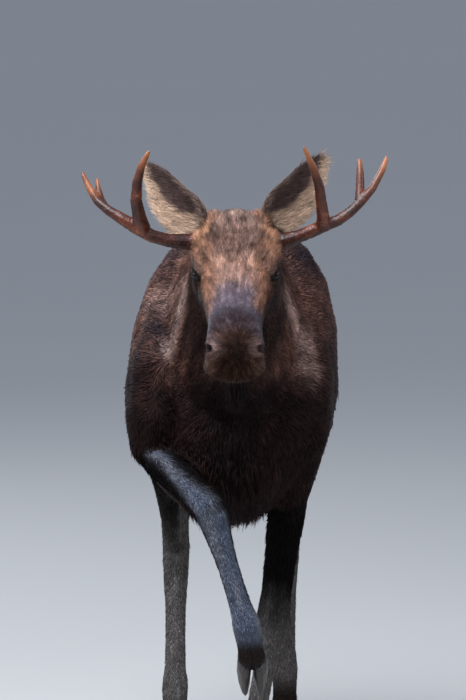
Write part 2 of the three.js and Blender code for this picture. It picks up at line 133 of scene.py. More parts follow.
def floor_material():
    """A pale sheet whose colour drifts a little from place to place."""
    material, nodes = new_material("pale floor", 0.9)
    tint = add_node(nodes, "ShaderNodeValToRGB", Fac=noise(nodes, 0.35).outputs["Fac"])
    tint.color_ramp.elements[0].color = (*(FLOOR_COLOUR * 0.96), 1)
    tint.color_ramp.elements[1].color = (*FLOOR_COLOUR, 1)
    dress(nodes, Base_Color=tint.outputs["Color"])
    return material


corners = [(x * HALF_FLOOR, y * HALF_FLOOR, 0) for x, y in ((-1, -1), (1, -1), (1, 1), (-1, 1))]
floor_mesh = bpy.data.meshes.new("floor")
floor_mesh.from_pydata(corners, [], [(0, 1, 2, 3)])
floor_mesh.materials.append(floor_material())
floor = bpy.data.objects.new("floor", floor_mesh)
bpy.context.scene.collection.objects.link(floor)
print("floor:", 2 * HALF_FLOOR, "m wide")

# %% Lights
SKY_COLOUR, SKY_STRENGTH = (0.72, 0.82, 1.0, 1), 0.64


def panel_light(name, at, aim, size, watts, colour):
    """A round soft light at one point, turned towards another."""
    data = bpy.data.lights.new(name, "AREA")
    data.shape = "DISK"
    data.size = size
    data.energy = watts
    data.color = colour
    lamp = bpy.data.objects.new(name, data)
    lamp.location = at
    lamp.rotation_euler = (Vector(at) - Vector(aim)).to_track_quat("Z", "Y").to_euler()
    bpy.context.scene.collection.objects.link(lamp)


panel_light("sky panel", (-1.8, -3.4, 6.6), (0, -0.6, 1.3), 5.0, 900, (0.90, 0.95, 1.0))
panel_light("front panel", (3.4, -9.0, 3.7), (0, -0.6, 1.3), 5.0, 130, (1.0, 0.94, 0.86))
for hand, outward in (("left", 5.9), ("right", -5.9)):
    panel_light(f"{hand} lamp", (outward, -1.4, 3.3), (0, -1.0, 1.7), 1.1, 120, (0.95, 0.97, 1.0))
panel_light("rear panel", (-3.5, 6.5, 5.5), (0, 0.4, 1.2), 4.0, 240, (0.9, 0.95, 1.0))
world = bpy.data.worlds.new("dim sky")
world.use_nodes = True
sky = world.node_tree.nodes["Background"]
sky.inputs["Color"].default_value = SKY_COLOUR
sky.inputs["Strength"].default_value = SKY_STRENGTH
bpy.context.scene.world = world
bpy.context.scene.view_settings.view_transform = "Standard"
print("lights:", [light.name for light in bpy.data.lights])

# %% [markdown]
# ## One skin from many solids
# A moose has no seams, so the solids of its flesh are copied into one mesh and melted together with a
# voxel remesh, which keeps only the outer surface. Smoothing then takes the facets off: a lot on the
# trunk, where they are wide, a little on the legs and head, next to nothing on the thin ears.
# Smoothing also shrinks a shape, so the broad part of that loss is measured and given back.


# %% Reading and writing meshes
def read_points(mesh, field="co"):
    """The positions or the normals of a mesh's vertices, one row each."""
    values = np.empty(len(mesh.vertices) * 3, np.float32)
    if field == "co":
        mesh.vertices.foreach_get("co", values)
    else:
        mesh.vertex_normals.foreach_get("vector", values)
    return values.reshape(-1, 3).astype(np.float64)


def read_edges(mesh):
    values = np.empty(len(mesh.edges) * 2, np.int32)
    mesh.edges.foreach_get("vertices", values)
    return values.reshape(-1, 2)


def read_triangles(mesh):
    mesh.calc_loop_triangles()
    values = np.empty(len(mesh.loop_triangles) * 3, np.int32)
    mesh.loop_triangles.foreach_get("vertices", values)
    return values.reshape(-1, 3)


def move_points(mesh, points):
    mesh.vertices.foreach_set("co", points.astype(np.float32).ravel())
    mesh.update()


def mesh_of(name, points, faces):
    """A mesh from an array of points and an array of faces that all have as many sides."""
    mesh = bpy.data.meshes.new(name)
    mesh.vertices.add(len(points))
    mesh.vertices.foreach_set("co", np.asarray(points, np.float32).ravel())
    mesh.loops.add(faces.size)
    mesh.loops.foreach_set("vertex_index", faces.astype(np.int32).ravel())
    mesh.polygons.add(len(faces))
    mesh.polygons.foreach_set("loop_start", np.arange(0, faces.size, faces.shape[1], dtype=np.int32))
    mesh.update(calc_edges=True)
    return mesh


# %% Averaging over neighbours
def soften(values, edges, rounds):
    """Values at the vertices, averaged with their neighbours' again and again."""
    values = np.array(values, np.float64)
    flat = values.reshape(len(values), -1)
    count = len(flat)
    degree = np.bincount(edges.ravel(), minlength=count)[:, None]
    for _ in range(rounds):
        total = np.empty_like(flat)
        for k in range(flat.shape[1]):
            ahead = np.bincount(edges[:, 0], flat[edges[:, 1], k], count)
            total[:, k] = ahead + np.bincount(edges[:, 1], flat[edges[:, 0], k], count)
        flat = 0.5 * flat + 0.5 * total / degree
    return flat.reshape(values.shape)


# %% Blender's modifiers on a plain mesh
WEIGHT_LEVELS = 50  # how finely the weights of a vertex group are told apart


def modified(mesh, kind, group=None, **settings):
    """A new mesh: the old one after one of Blender's modifiers."""
    carrier = bpy.data.objects.new("carrier", mesh)
    bpy.context.scene.collection.objects.link(carrier)
    modifier = carrier.modifiers.new("step", kind)
    if group is not None:
        carrier.vertex_groups.clear()
        weights = carrier.vertex_groups.new(name="weights")
        levels = np.round(np.clip(group, 0, 1) * WEIGHT_LEVELS).astype(int)
        for level in range(1, WEIGHT_LEVELS + 1):
            chosen = np.flatnonzero(levels == level)
            if len(chosen):
                weights.add(chosen.tolist(), level / WEIGHT_LEVELS, "REPLACE")
        modifier.vertex_group = weights.name
    for name, value in settings.items():
        setattr(modifier, name, value)
    seen = carrier.evaluated_get(bpy.context.evaluated_depsgraph_get())
    result = bpy.data.meshes.new_from_object(seen)
    bpy.data.objects.remove(carrier)
    return result


# %% Several solids in one mesh
def gathered(nodes):
    """The points and the triangles of several CAD nodes, and how many triangles each node has."""
    points, faces, sizes, count = [], [], [], 0
    for node in nodes:
        mesh = NODES[node].data
        points.append(read_points(mesh))
        faces.append(read_triangles(mesh) + count)
        sizes.append(len(faces[-1]))
        count += len(points[-1])
    return np.concatenate(points), np.concatenate(faces), sizes


# %% Melt the flesh together
VOXEL = 0.005
FLESH = [n for n in sorted(NODES) if not any(word in n for word in ("eye", "antler", "claw"))]
# Eyes and claws are melted in too, so that lids have a ball to lie on and legs run down into their hooves.
CORES = [n for n in sorted(NODES) if "eye" in n or "claw" in n]
MELTED = FLESH + CORES
skin_mesh = mesh_of("flesh", *gathered(MELTED)[:2])
skin_mesh = modified(skin_mesh, "REMESH", mode="VOXEL", voxel_size=VOXEL)
print("melted:", len(FLESH), "solids,", len(skin_mesh.vertices), "points")


# %% Which solid each point of the skin came from
def owner_finder(nodes):
    """A function that gives, for points, the place in nodes of the closest solid."""
    points, faces, sizes = gathered(nodes)
    tree = BVHTree.FromPolygons(points.tolist(), faces.tolist())
    owners = np.repeat(np.arange(len(nodes)), sizes)
    return lambda wanted: owners[[tree.find_nearest(p)[2] for p in wanted.tolist()]]


find_owner = owner_finder(MELTED)
owner = find_owner(read_points(skin_mesh))
print("points on the head:", int(np.sum(owner == MELTED.index("head"))))

# %% Smooth the facets away
# how far each solid's facets are smoothed, in metres
SMOOTH_REACH = {"trunk": 0.036, "neck": 0.036, "head": 0.013, "bell": 0.012, "tail": 0.01}
LEG_REACH, SMALL_REACH = 0.0125, 0.0045  # of a leg, and of an ear, eye or claw
ROUNDS = 220
BLEND_ROUNDS, LOSS_ROUNDS = 12, 60  # how widely the reach and the lost height are averaged


def reach_of(node):
    return SMOOTH_REACH.get(node, LEG_REACH if node.endswith("leg") else SMALL_REACH)


edges = read_edges(skin_mesh)
reach = soften(np.array([reach_of(n) for n in MELTED])[owner], edges, BLEND_ROUNDS)
share = (reach / reach.max()) ** 2
rough = read_points(skin_mesh)
skin_mesh = modified(skin_mesh, "SMOOTH", group=share, factor=0.5, iterations=ROUNDS)
smooth = read_points(skin_mesh)
normals = read_points(skin_mesh, "normal")
lost = soften(np.sum((rough - smooth) * normals, 1), edges, LOSS_ROUNDS)
move_points(skin_mesh, smooth + normals * lost[:, None])
print("smoothing moved points by up to", round(float(np.abs(rough - smooth).max()), 3), "m")

# %% [markdown]
# ## The head's own frame
# A face is easier to shape when straight ahead is one axis. The two eyes and the slope of the face
# line give such a frame: the origin on the crown, -Y toward the nose, +Z square to the forehead.

# %% Head frame
FACE_SLOPE, FACE_TURN = math.radians(24), math.radians(-0.6)
EYE_LEVEL = Vector((0, -0.205, -0.097))  # between the eyes, seen from the crown
EYE_RADIUS = 0.020

head_turn = Matrix.Rotation(FACE_TURN, 3, "Z") @ Matrix.Rotation(FACE_SLOPE, 3, "X")
EYES = {side: sum(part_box(f"{side}_eye"), Vector()) / 2 for side in ("left", "right")}
CROWN = (EYES["left"] + EYES["right"]) / 2 - head_turn @ EYE_LEVEL
SIGN = {"left": 1, "right": -1}


def to_head(points):
    return (points - np.array(CROWN)) @ np.array(head_turn)


def mirrored(points):
    """Points in the head's frame, with its right half laid over the left."""
    local = to_head(points)
    local[:, 0] = np.abs(local[:, 0])
    return local


def ramp(low, high, values):
    """0 below low, 1 above high and a smooth rise between; low may be the larger one."""
    share = np.clip((values - low) / (high - low), 0, 1)
    return share * share * (3 - 2 * share)


print("crown at", tuple(round(v, 3) for v in CROWN))

# %% [markdown]
# ## Under the hair
# The solids reach to the tips of the hair, so the skin lies inside them by the depth of the coat:
# less than half a centimetre on the face, one on the flanks, and three under the mane of neck and hump.

# %% Sink the skin by the depth of the coat
DEPTH = {"trunk": 0.009, "neck": 0.011, "head": 0.004, "bell": 0.010, "tail": 0.010}
MANE_DEPTH = 0.024
SMALL_DEPTH = 0.0022  # of an ear's hair
CORE_DEPTH = 0.0045  # how far the skin lies inside eyes and hooves
LEG_DEPTH = (0.0025, 0.005, 0.012)  # above the hoof, 0.4 of the way up and at the top
BODY_MIDDLE = -0.0044
LEAN, LEAN_FROM = 0.05, 1.332  # the trunk leans a little over its standing foreleg


def is_leg(node):
    return node.endswith("leg")


def up_the_leg(points, node):
    """0 at the lower end of a leg and 1 at its upper end."""
    low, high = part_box(node)
    return np.clip((points[:, 2] - low.z) / (high.z - low.z), 0, 1)


def midline(points):
    """The X of the trunk's middle at each point's height."""
    return BODY_MIDDLE + LEAN * (points[:, 2] - LEAN_FROM)


def crest(points):
    """1 along the top of the neck and hump, fading to its sides."""
    across = ramp(0.15, 0.03, np.abs(points[:, 0] - midline(points)))
    along = ramp(-0.70, -0.56, points[:, 1]) * ramp(0.34, 0.10, points[:, 1])
    return across * along * ramp(1.60, 1.72, points[:, 2])


def coat_depth(points, owner):
    depth = np.full(len(points), SMALL_DEPTH)
    for place, node in enumerate(MELTED):
        mine = owner == place
        if is_leg(node):
            depth[mine] = np.interp(up_the_leg(points[mine], node), (0, 0.4, 1), LEG_DEPTH)
        elif node in CORES:
            depth[mine] = CORE_DEPTH
        elif node in DEPTH:
            depth[mine] = DEPTH[node]
    return depth + MANE_DEPTH * crest(points)


points, normals = read_points(skin_mesh), read_points(skin_mesh, "normal")
depth = soften(coat_depth(points, owner), edges, 16)
move_points(skin_mesh, points - normals * depth[:, None])
print("coat depth from", round(float(depth.min()), 4), "to", round(float(depth.max()), 4), "m")

# %% [markdown]
# ## Shaping the face
# The head needs a finer mesh than the rest, so its faces are split once, and those round the eyes
# twice more. Bone and muscle are then raised or sunk with soft dabs, each an ellipsoid in the head's
# frame with a height in its middle, as a sculptor's thumb would. The same list serves both sides.


# %% Finer faces on the head and round the eyes
def split_faces(mesh, chosen):
    """Cuts every edge between chosen points in two."""
    shaped = bmesh.new()
    shaped.from_mesh(mesh)
    shaped.verts.ensure_lookup_table()
    cut = [e for e in shaped.edges if chosen[e.verts[0].index] and chosen[e.verts[1].index]]
    bmesh.ops.subdivide_edges(shaped, edges=cut, cuts=1, use_grid_fill=True)
    shaped.to_mesh(mesh)
    shaped.free()


def near_eyes(points, reach):
    gaps = [np.linalg.norm(points - np.array(eye), axis=1) for eye in EYES.values()]
    return np.minimum(*gaps) < reach


def of_head(owner):
    """True where a point's solid is the head or an ear."""
    return np.isin(owner, [MELTED.index(node) for node in ("head", "left_ear", "right_ear")])


split_faces(skin_mesh, of_head(owner))
for reach in (0.062, 0.034):
    split_faces(skin_mesh, near_eyes(read_points(skin_mesh), reach))
owner = find_owner(read_points(skin_mesh))
edges = read_edges(skin_mesh)
blend = soften(of_head(owner).astype(float), edges, 4)
skin_mesh = modified(skin_mesh, "SMOOTH", group=blend, factor=0.5, iterations=5)
print("points after splitting:", len(skin_mesh.vertices))

# %% Bone, muscle and lips
# centre, radii and rise of each dab, in the head's frame, for the left side; the right is its mirror
DABS = {
    "orbit": ((0.116, -0.214, -0.100), (0.046, 0.056, 0.046), 0.0065),
    "brow ridge": ((0.103, -0.184, -0.050), (0.026, 0.048, 0.020), 0.0095),
    "pedicle": ((0.112, -0.096, -0.048), (0.034, 0.044, 0.036), 0.010),
    "rim under the eye": ((0.122, -0.225, -0.128), (0.022, 0.045, 0.014), 0.003),
    "face crest": ((0.108, -0.300, -0.128), (0.024, 0.075, 0.017), 0.005),
    "hollow before the eye": ((0.099, -0.272, -0.086), (0.020, 0.030, 0.022), -0.0035),
    "temple": ((0.132, -0.130, -0.098), (0.030, 0.034, 0.034), -0.006),
    "cheek muscle": ((0.118, -0.090, -0.215), (0.040, 0.085, 0.065), 0.007),
    "hollow of the cheek": ((0.088, -0.350, -0.160), (0.034, 0.090, 0.034), -0.006),
    "edge of the bridge": ((0.036, -0.400, -0.050), (0.016, 0.085, 0.018), 0.0025),
    "shoulder of the muzzle": ((0.064, -0.552, -0.054), (0.026, 0.050, 0.026), 0.007),
    "wing of the nostril": ((0.070, -0.648, -0.112), (0.015, 0.026, 0.034), 0.0045),
    "pinch behind the nostril": ((0.088, -0.590, -0.128), (0.020, 0.030, 0.020), -0.004),
    "lip pad": ((0.076, -0.628, -0.166), (0.026, 0.042, 0.026), 0.0065),
    "corner of the mouth": ((0.060, -0.525, -0.190), (0.022, 0.030, 0.018), -0.004),
    "middle of the forehead": ((0.0, -0.215, -0.025), (0.034, 0.075, 0.030), -0.003),
    "nose tip": ((0.0, -0.668, -0.110), (0.050, 0.030, 0.044), 0.003),
}


def dab(points, normals, centre, radii, rise):
    """Moves points along their normals near an ellipsoid's centre, on both sides of the head."""
    nearness = 1 - np.sum(((mirrored(points) - centre) / radii) ** 2, axis=1)
    return points + normals * (rise * np.clip(nearness, 0, 1) ** 2)[:, None]


points = read_points(skin_mesh)
for centre, radii, rise in DABS.values():
    move_points(skin_mesh, points)
    points = dab(points, read_points(skin_mesh, "normal"), centre, radii, rise)
move_points(skin_mesh, points)
print("dabs:", len(DABS))

# %% [markdown]
# ### Mouth and nostrils
# The mouth is a shallow groove that follows a path of a few points on each side. A nostril is a comma:
# an ellipse whose middle line is bent, pushed straight into the muzzle from its side.

# %% Mouth line and nostrils
MOUTH = ((0, -0.660, -0.203), (0.034, -0.650, -0.203), (0.056, -0.615, -0.201), (0.062, -0.565, -0.196),
         (0.064, -0.515, -0.187))
MOUTH_DEPTH, MOUTH_HALF = 0.007, 0.0055
NOSTRIL = {"centre": (0.088, -0.622, -0.106), "length": 0.034, "height": 0.0128, "tilt": 0.45, "bend": 6.0}
NOSTRIL_DEPTH = 0.020


def distance_to_path(points, path):
    """The shortest distance from each point to a line of straight pieces."""
    best = np.full(len(points), np.inf)
    for a, b in zip(np.array(path[:-1]), np.array(path[1:])):
        along = np.clip((points - a) @ (b - a) / ((b - a) @ (b - a)), 0, 1)
        best = np.minimum(best, np.linalg.norm(points - a - along[:, None] * (b - a), axis=1))
    return best


def mouth_nearness(local):
    return np.exp(-((distance_to_path(local, MOUTH) / MOUTH_HALF) ** 2))


def nostril_nearness(local):
    """1 inside the nostril's comma, 0 outside."""
    away = local - np.array(NOSTRIL["centre"])
    tilt = NOSTRIL["tilt"]
    along = -away[:, 1] * math.cos(tilt) + away[:, 2] * math.sin(tilt)
    across = away[:, 1] * math.sin(tilt) + away[:, 2] * math.cos(tilt)
    across = across + NOSTRIL["bend"] * along**2
    size = np.hypot(along / NOSTRIL["length"], across / NOSTRIL["height"])
    return ramp(1.15, 0.55, size) * ramp(0.058, 0.072, local[:, 0]) * ramp(0.05, 0.03, np.abs(away[:, 0]))


local = mirrored(points)
normals = read_points(skin_mesh, "normal")
points -= normals * (MOUTH_DEPTH * mouth_nearness(local))[:, None]
hole = nostril_nearness(local)
inward = np.zeros_like(points)
inward[:, 0] = -np.sign(to_head(points)[:, 0])
points += inward @ np.array(head_turn).T * (NOSTRIL_DEPTH * hole)[:, None]
move_points(skin_mesh, points)
print("nostril points:", int(np.sum(hole > 0.5)))

# %% [markdown]
# ## Lids
# A lid is skin stretched over the ball of the eye, with a thick edge round an almond-shaped opening.
# Every point of skin near an eye is therefore moved along its own ray from the middle of the ball:
# inside the almond it drops behind the ball's surface and is hidden, outside it lies on the ball, and
# further out it melts into the face. Shallow arcs above the upper lid are the folds it makes when open.

# %% The ball of the eye
GAZE = Vector((0.80, -0.60, 0.04))  # in the head's frame, for the left eye
CORNER_DROP = -0.34  # how far the front corner of the eye points down
OPENING = {"front": 0.0205, "rear": 0.0185, "upper": 0.0140, "lower": 0.0125}


def eye_axes(side):
    """Rows: towards the front corner, up the lid, and out of the eye."""
    out = Vector((GAZE.x * SIGN[side], GAZE.y, GAZE.z)).normalized()
    corner = Vector((0, -1, CORNER_DROP))
    corner = (corner - out * corner.dot(out)).normalized()
    up = out.cross(corner) * -SIGN[side]
    return np.array([head_turn @ axis for axis in (corner, up, out)])


def on_the_ball(points, side):
    """Arcs to the front and up over the ball, the size of the almond through each point, and its reach."""
    away = points - np.array(EYES[side])
    reach = np.linalg.norm(away, axis=1) + 1e-9
    front, up, out = (away @ eye_axes(side).T).T
    flat = np.hypot(front, up) + 1e-9
    arc = EYE_RADIUS * np.arccos(np.clip(out / reach, -1, 1))
    front, up = arc * front / flat, arc * up / flat
    length = np.where(front > 0, OPENING["front"], OPENING["rear"])
    height = np.where(up > 0, OPENING["upper"], OPENING["lower"])
    almond = np.sqrt(np.abs(front / length) ** 1.7 + (up / height) ** 2)
    return front, up, almond, reach


print("the left eye looks along", eye_axes("left")[2].round(3))

# %% Lids and folds
LID_THICKNESS = 0.0024
LID_THINNING = 0.0008  # from the thick edge outward
HIDDEN_DEPTH = 0.0045
SOCKET = 0.065  # how far from the middle of the ball the lids reach
FOLDS = ((0.0255, 0.0012, 0.0014), (0.0370, 0.0030, 0.0026))  # arc, depth, width


def shape_lids(points, side):
    front, up, almond, reach = on_the_ball(points, side)
    lid = EYE_RADIUS + LID_THICKNESS - LID_THINNING * ramp(1.05, 1.6, almond)
    hidden = EYE_RADIUS - HIDDEN_DEPTH
    wanted = hidden + (lid - hidden) * ramp(0.93, 1.03, almond)
    wanted += (reach - wanted) * ramp(1.25, 2.2, almond)
    for arc, deep, wide in FOLDS:
        nearness = np.exp(-(((np.hypot(front * 0.9, up) - arc) / wide) ** 2))
        window = ramp(-0.1, 0.35, up / np.hypot(front, up)) * ramp(-0.030, -0.015, front)
        wanted -= deep * nearness * window
    close = reach < SOCKET
    share = (wanted / reach)[:, None]
    centre = np.array(EYES[side])
    return np.where(close[:, None], centre + (points - centre) * share, points)


points = read_points(skin_mesh)
for side in EYES:
    points = shape_lids(points, side)
move_points(skin_mesh, points)
points = read_points(skin_mesh)
looseness = np.zeros(len(points))
for side in EYES:
    _, _, almond, reach = on_the_ball(points, side)
    looseness = np.maximum(looseness, ramp(1.1, 1.4, almond) * ramp(SOCKET, 0.050, reach))
skin_mesh = modified(skin_mesh, "SMOOTH", group=looseness * 0.6, factor=0.5, iterations=10)
print("lids shaped, opening", round(1000 * (OPENING["front"] + OPENING["rear"])), "mm long")

# %% [markdown]
# ## A lighter mesh
# The fine grid was needed for shaping. Now the skin is thinned to a number of triangles that can be
# handled. The tool weighs the length of an edge against the weight of its ends, so a weight made from
# the wished spacing gives wide triangles on the flanks and small ones on the face and lids.

# %% Thin the skin
SKIN_TRIANGLES = 190_000

# wished distance between points, in metres
SPACING = {"trunk": 0.016, "neck": 0.012, "head": 0.0036, "left_ear": 0.004, "right_ear": 0.004}
LEG_SPACING = 0.009

points = read_points(skin_mesh)
owner = find_owner(points)
edges = read_edges(skin_mesh)
spacing = soften(np.array([SPACING.get(n, LEG_SPACING) for n in MELTED])[owner], edges, 8)
thinning = (1 - 0.3 * SPACING["head"] / spacing) * (1 - near_eyes(points, 0.040))
triangles_now = sum(len(p.vertices) - 2 for p in skin_mesh.polygons)
skin_mesh = modified(
    skin_mesh, "DECIMATE", group=thinning, ratio=SKIN_TRIANGLES / triangles_now, vertex_group_factor=4.0
)
skin_mesh = modified(skin_mesh, "TRIANGULATE")
print("triangles:", triangles_now, "->", len(skin_mesh.polygons))

# %% [markdown]
# ## Eyes
# A moose's eye is a dark brown ball four centimetres across with a wide level pupil. The ball is a
# grid of rings round its gaze, with the clear cornea swelling a little in front. How far each point is
# from the gaze is stored on it, so that the material can paint iris, rim and pupil by shape alone.


# %% Colours, attributes and pieces
def srgb(red, green, blue):
    """A colour as seen on a screen, changed to the linear numbers that shaders use."""
    screen = np.array((red, green, blue), float)
    return np.where(screen <= 0.04045, screen / 12.92, ((screen + 0.055) / 1.055) ** 2.4)


def colour_ramp(nodes, stops, value):
    """The colour that a value from 0 to 1 picks between stops, each a place and a screen colour."""
    node = add_node(nodes, "ShaderNodeValToRGB", Fac=value)
    elements = node.color_ramp.elements
    while len(elements) < len(stops):
        elements.new(0.5)
    for element, (place, colour) in zip(elements, stops):
        element.position = place
        element.color = (*srgb(*colour), 1)
    return node.outputs["Color"]


def stored(nodes, name, output="Fac"):
    """An attribute of the mesh, as a number unless another output is named."""
    return add_node(nodes, "ShaderNodeAttribute", attribute_name=name).outputs[output]


def store(mesh, name, values):
    """Numbers, vectors or colours kept on a mesh's points for the shaders to read."""
    values = np.asarray(values, np.float32)
    width = 1 if values.ndim == 1 else values.shape[1]
    kind, field = {1: ("FLOAT", "value"), 3: ("FLOAT_VECTOR", "vector"), 4: ("FLOAT_COLOR", "color")}[width]
    mesh.attributes.new(name, kind, "POINT").data.foreach_set(field, values.ravel())


def new_piece(name, mesh, material, replaced=()):
    """A finished piece of the animal: shown, smooth, riding on the body and stand-ins."""
    mesh.materials.clear()
    mesh.materials.append(material)
    mesh.polygons.foreach_set("use_smooth", np.ones(len(mesh.polygons), bool))
    piece = bpy.data.objects.new(name, mesh)
    bpy.context.scene.collection.objects.link(piece)
    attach(piece, "root")
    if replaced:
        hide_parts(*replaced)
    print(name, len(mesh.polygons), "faces")
    return piece


# %% Eye material
IRIS_STOPS = (
    (0.00, (0.06, 0.035, 0.025)),
    (0.26, (0.11, 0.065, 0.042)),
    (0.36, (0.05, 0.03, 0.025)),
    (0.41, (0.02, 0.015, 0.015)),
    (0.47, (0.15, 0.12, 0.11)),
)
PUPIL_COLOUR = (0.002, 0.002, 0.003, 1)


def eye_material():
    material, nodes = new_material("wet dark eye", 0.05, Specular_IOR_Level=0.15)
    iris = colour_ramp(nodes, IRIS_STOPS, stored(nodes, "from_gaze"))
    fibres = noise(nodes, 900.0, Detail=4.0).outputs["Color"]
    streaked = add_node(
        nodes, "ShaderNodeMix", data_type="RGBA", blend_type="MULTIPLY", Factor=0.5, A=iris, B=fibres
    )
    pupil = stored(nodes, "pupil")
    eye = add_node(
        nodes, "ShaderNodeMix", data_type="RGBA", Factor=pupil, A=streaked.outputs["Result"], B=PUPIL_COLOUR
    )
    dress(nodes, Base_Color=eye.outputs["Result"])
    return material


eye_finish = eye_material()
print("eye material:", len(eye_finish.node_tree.nodes), "nodes")

# %% Eyeballs
CORNEA_EDGE = 0.62  # radians from the gaze
CORNEA_RISE = 0.0016
EYE_PLAY = 0.0003  # between the ball and the lids
PUPIL_TILT = (0.94, 0.34)  # cosine and sine of the turn that levels the pupil
PUPIL_HALF = (0.33, 0.17)  # half its width and height, as shares of the ball's radius


def eyeball(side, rings=40, spokes=56):
    angle = np.linspace(0, math.pi, rings + 1)[1:-1]
    turn = np.linspace(0, 2 * math.pi, spokes, endpoint=False)
    angle, turn = (grid.ravel() for grid in np.meshgrid(angle, turn, indexing="ij"))
    angle, turn = np.append(angle, (0, math.pi)), np.append(turn, (0, 0))
    reach = EYE_RADIUS - EYE_PLAY + CORNEA_RISE * np.clip(1 - (angle / CORNEA_EDGE) ** 2, 0, 1) ** 2
    local = np.stack((np.sin(angle) * np.cos(turn), np.sin(angle) * np.sin(turn), np.cos(angle)), 1)
    world = local @ eye_axes(side) * reach[:, None] + np.array(EYES[side])
    faces = []
    for ring in range(rings - 2):
        for k in range(spokes):
            a, b = ring * spokes + k, ring * spokes + (k + 1) % spokes
            faces += [(a, a + spokes, b), (b, a + spokes, b + spokes)]
    front, rear, last = len(angle) - 2, len(angle) - 1, (rings - 2) * spokes
    faces += [(front, k, (k + 1) % spokes) for k in range(spokes)]
    faces += [(rear, last + (k + 1) % spokes, last + k) for k in range(spokes)]
    faces = np.array(faces)
    if side == "right":
        faces = faces[:, ::-1]
    mesh = mesh_of(f"{side}_eyeball", world, faces)
    wide = local[:, 0] * PUPIL_TILT[0] + local[:, 1] * PUPIL_TILT[1]
    tall = local[:, 1] * PUPIL_TILT[0] - local[:, 0] * PUPIL_TILT[1]
    size = np.hypot(wide / PUPIL_HALF[0], tall / PUPIL_HALF[1])
    store(mesh, "from_gaze", angle / math.pi * 2)
    store(mesh, "pupil", ramp(1.15, 0.9, size) * (local[:, 2] > 0))
    return mesh


for side in EYES:
    new_piece(f"{side}_eyeball", eyeball(side), eye_finish, [f"{side}_eye"])

# %% [markdown]
# ## Lid edges
# The bare edge of the lids is a thin black roll of wet skin. A small tube that follows the almond gives
# the crisp line that a mesh of hairy skin can't.


# %% Lid edges
LID_EDGE_RADIUS = 0.0011
LID_EDGE_RISE = 0.0013  # of the tube's middle over the ball


def lid_edge(side, share=1.0, steps=72):
    """Points along the almond, on the ball, and the way out of the eye at each."""
    turn = np.linspace(0, 2 * math.pi, steps, endpoint=False)
    front, up = np.cos(turn), np.sin(turn)
    front *= np.where(front > 0, OPENING["front"], OPENING["rear"])
    up = np.sign(up) * np.abs(up) ** 1.15 * np.where(up > 0, OPENING["upper"], OPENING["lower"])
    arc = np.hypot(front, up) * share
    angle, turn = arc / EYE_RADIUS, np.arctan2(up, front)
    out = np.stack((np.sin(angle) * np.cos(turn), np.sin(angle) * np.sin(turn), np.cos(angle)), 1)
    out = out @ eye_axes(side)
    return np.array(EYES[side]) + out * (EYE_RADIUS + LID_EDGE_RISE), out


def closed_tube(name, line, out, radius, sides=8):
    """A ring-shaped tube round a closed line."""
    ahead = np.roll(line, -1, 0) - np.roll(line, 1, 0)
    ahead /= np.linalg.norm(ahead, axis=1)[:, None]
    across = np.cross(out, ahead)
    turn = np.linspace(0, 2 * math.pi, sides, endpoint=False)[None, :, None]
    ring = out[:, None] * np.cos(turn) + across[:, None] * np.sin(turn)
    points = (line[:, None] + ring * radius).reshape(-1, 3)
    steps = len(line)
    a = (np.arange(steps)[:, None] * sides + np.arange(sides)).ravel()
    b = (np.arange(steps)[:, None] * sides + (np.arange(sides) + 1) % sides).ravel()
    shift = ((np.arange(steps) + 1) % steps - np.arange(steps)).repeat(sides) * sides
    mesh = mesh_of(name, points, np.stack((a, b, b + shift, a + shift), 1))
    shaped = bmesh.new()
    shaped.from_mesh(mesh)
    bmesh.ops.recalc_face_normals(shaped, faces=shaped.faces)
    shaped.to_mesh(mesh)
    shaped.free()
    return mesh


def mottled_material(name, roughness, specular, scale, detail, stops):
    """A finish whose colour wanders between a ramp's stops."""
    material, nodes = new_material(name, roughness, Specular_IOR_Level=specular)
    dress(nodes, Base_Color=colour_ramp(nodes, stops, noise(nodes, scale, Detail=detail).outputs["Fac"]))
    return material


BLACK_STOPS = ((0.3, (0.04, 0.03, 0.03)), (0.8, (0.08, 0.06, 0.055)))
black = mottled_material("black lid edge", 0.40, 0.06, 700.0, 3.0, BLACK_STOPS)
for side in EYES:
    line, out = lid_edge(side)
    new_piece(f"{side}_lid_edge", closed_tube("lid_edge", line, out, LID_EDGE_RADIUS), black)

# %% [markdown]
# ## Antlers
# A young bull's antler is one bone with three points, so the solids of each side are melted together as
# the skin was. Old blood vessels leave grooves along it and small pearls round its base. To run grooves
# along a bent bar, the bar's direction has to be known everywhere: it is the way in which the surface
# normals near a point never point, found from their spread.


# %% A smooth random field
def drift(points, size, seed):
    """Soft random numbers from -1 to 1 that change over a given size; the same seed gives the same field."""
    table = np.random.default_rng(seed).uniform(-1, 1, (32, 32, 32))
    place = np.asarray(points) / size
    cell = np.floor(place).astype(int)
    share = place - cell
    share = share * share * (3 - 2 * share)
    total = np.zeros(len(place))
    for corner in np.ndindex(2, 2, 2):
        weight = np.prod(np.where(corner, share, 1 - share), axis=1)
        x, y, z = ((cell + corner) % 32).T
        total += weight * table[x, y, z]
    return total


print("the field's value at the crown:", drift([CROWN], 0.01, seed=1).round(3))


# %% Tools for bone and horn
def bar_direction(mesh, rounds):
    """The direction in which the normals round each point have no part: the bar's own."""
    normals = read_points(mesh, "normal")
    spread = soften(normals[:, :, None] * normals[:, None, :], read_edges(mesh), rounds)
    return np.linalg.eigh(spread)[1][:, :, 0]


def melted(name, nodes, voxel, rounds):
    """One smooth closed mesh from several solids, as large as they are."""
    mesh = modified(mesh_of(name, *gathered(nodes)[:2]), "REMESH", mode="VOXEL", voxel_size=voxel)
    before = read_points(mesh)
    mesh = modified(mesh, "SMOOTH", factor=0.5, iterations=rounds)
    after, normals = read_points(mesh), read_points(mesh, "normal")
    lost = soften(np.sum((before - after) * normals, 1), read_edges(mesh), rounds)
    move_points(mesh, after + normals * np.maximum(lost, 0)[:, None])
    mesh.name = name
    return mesh


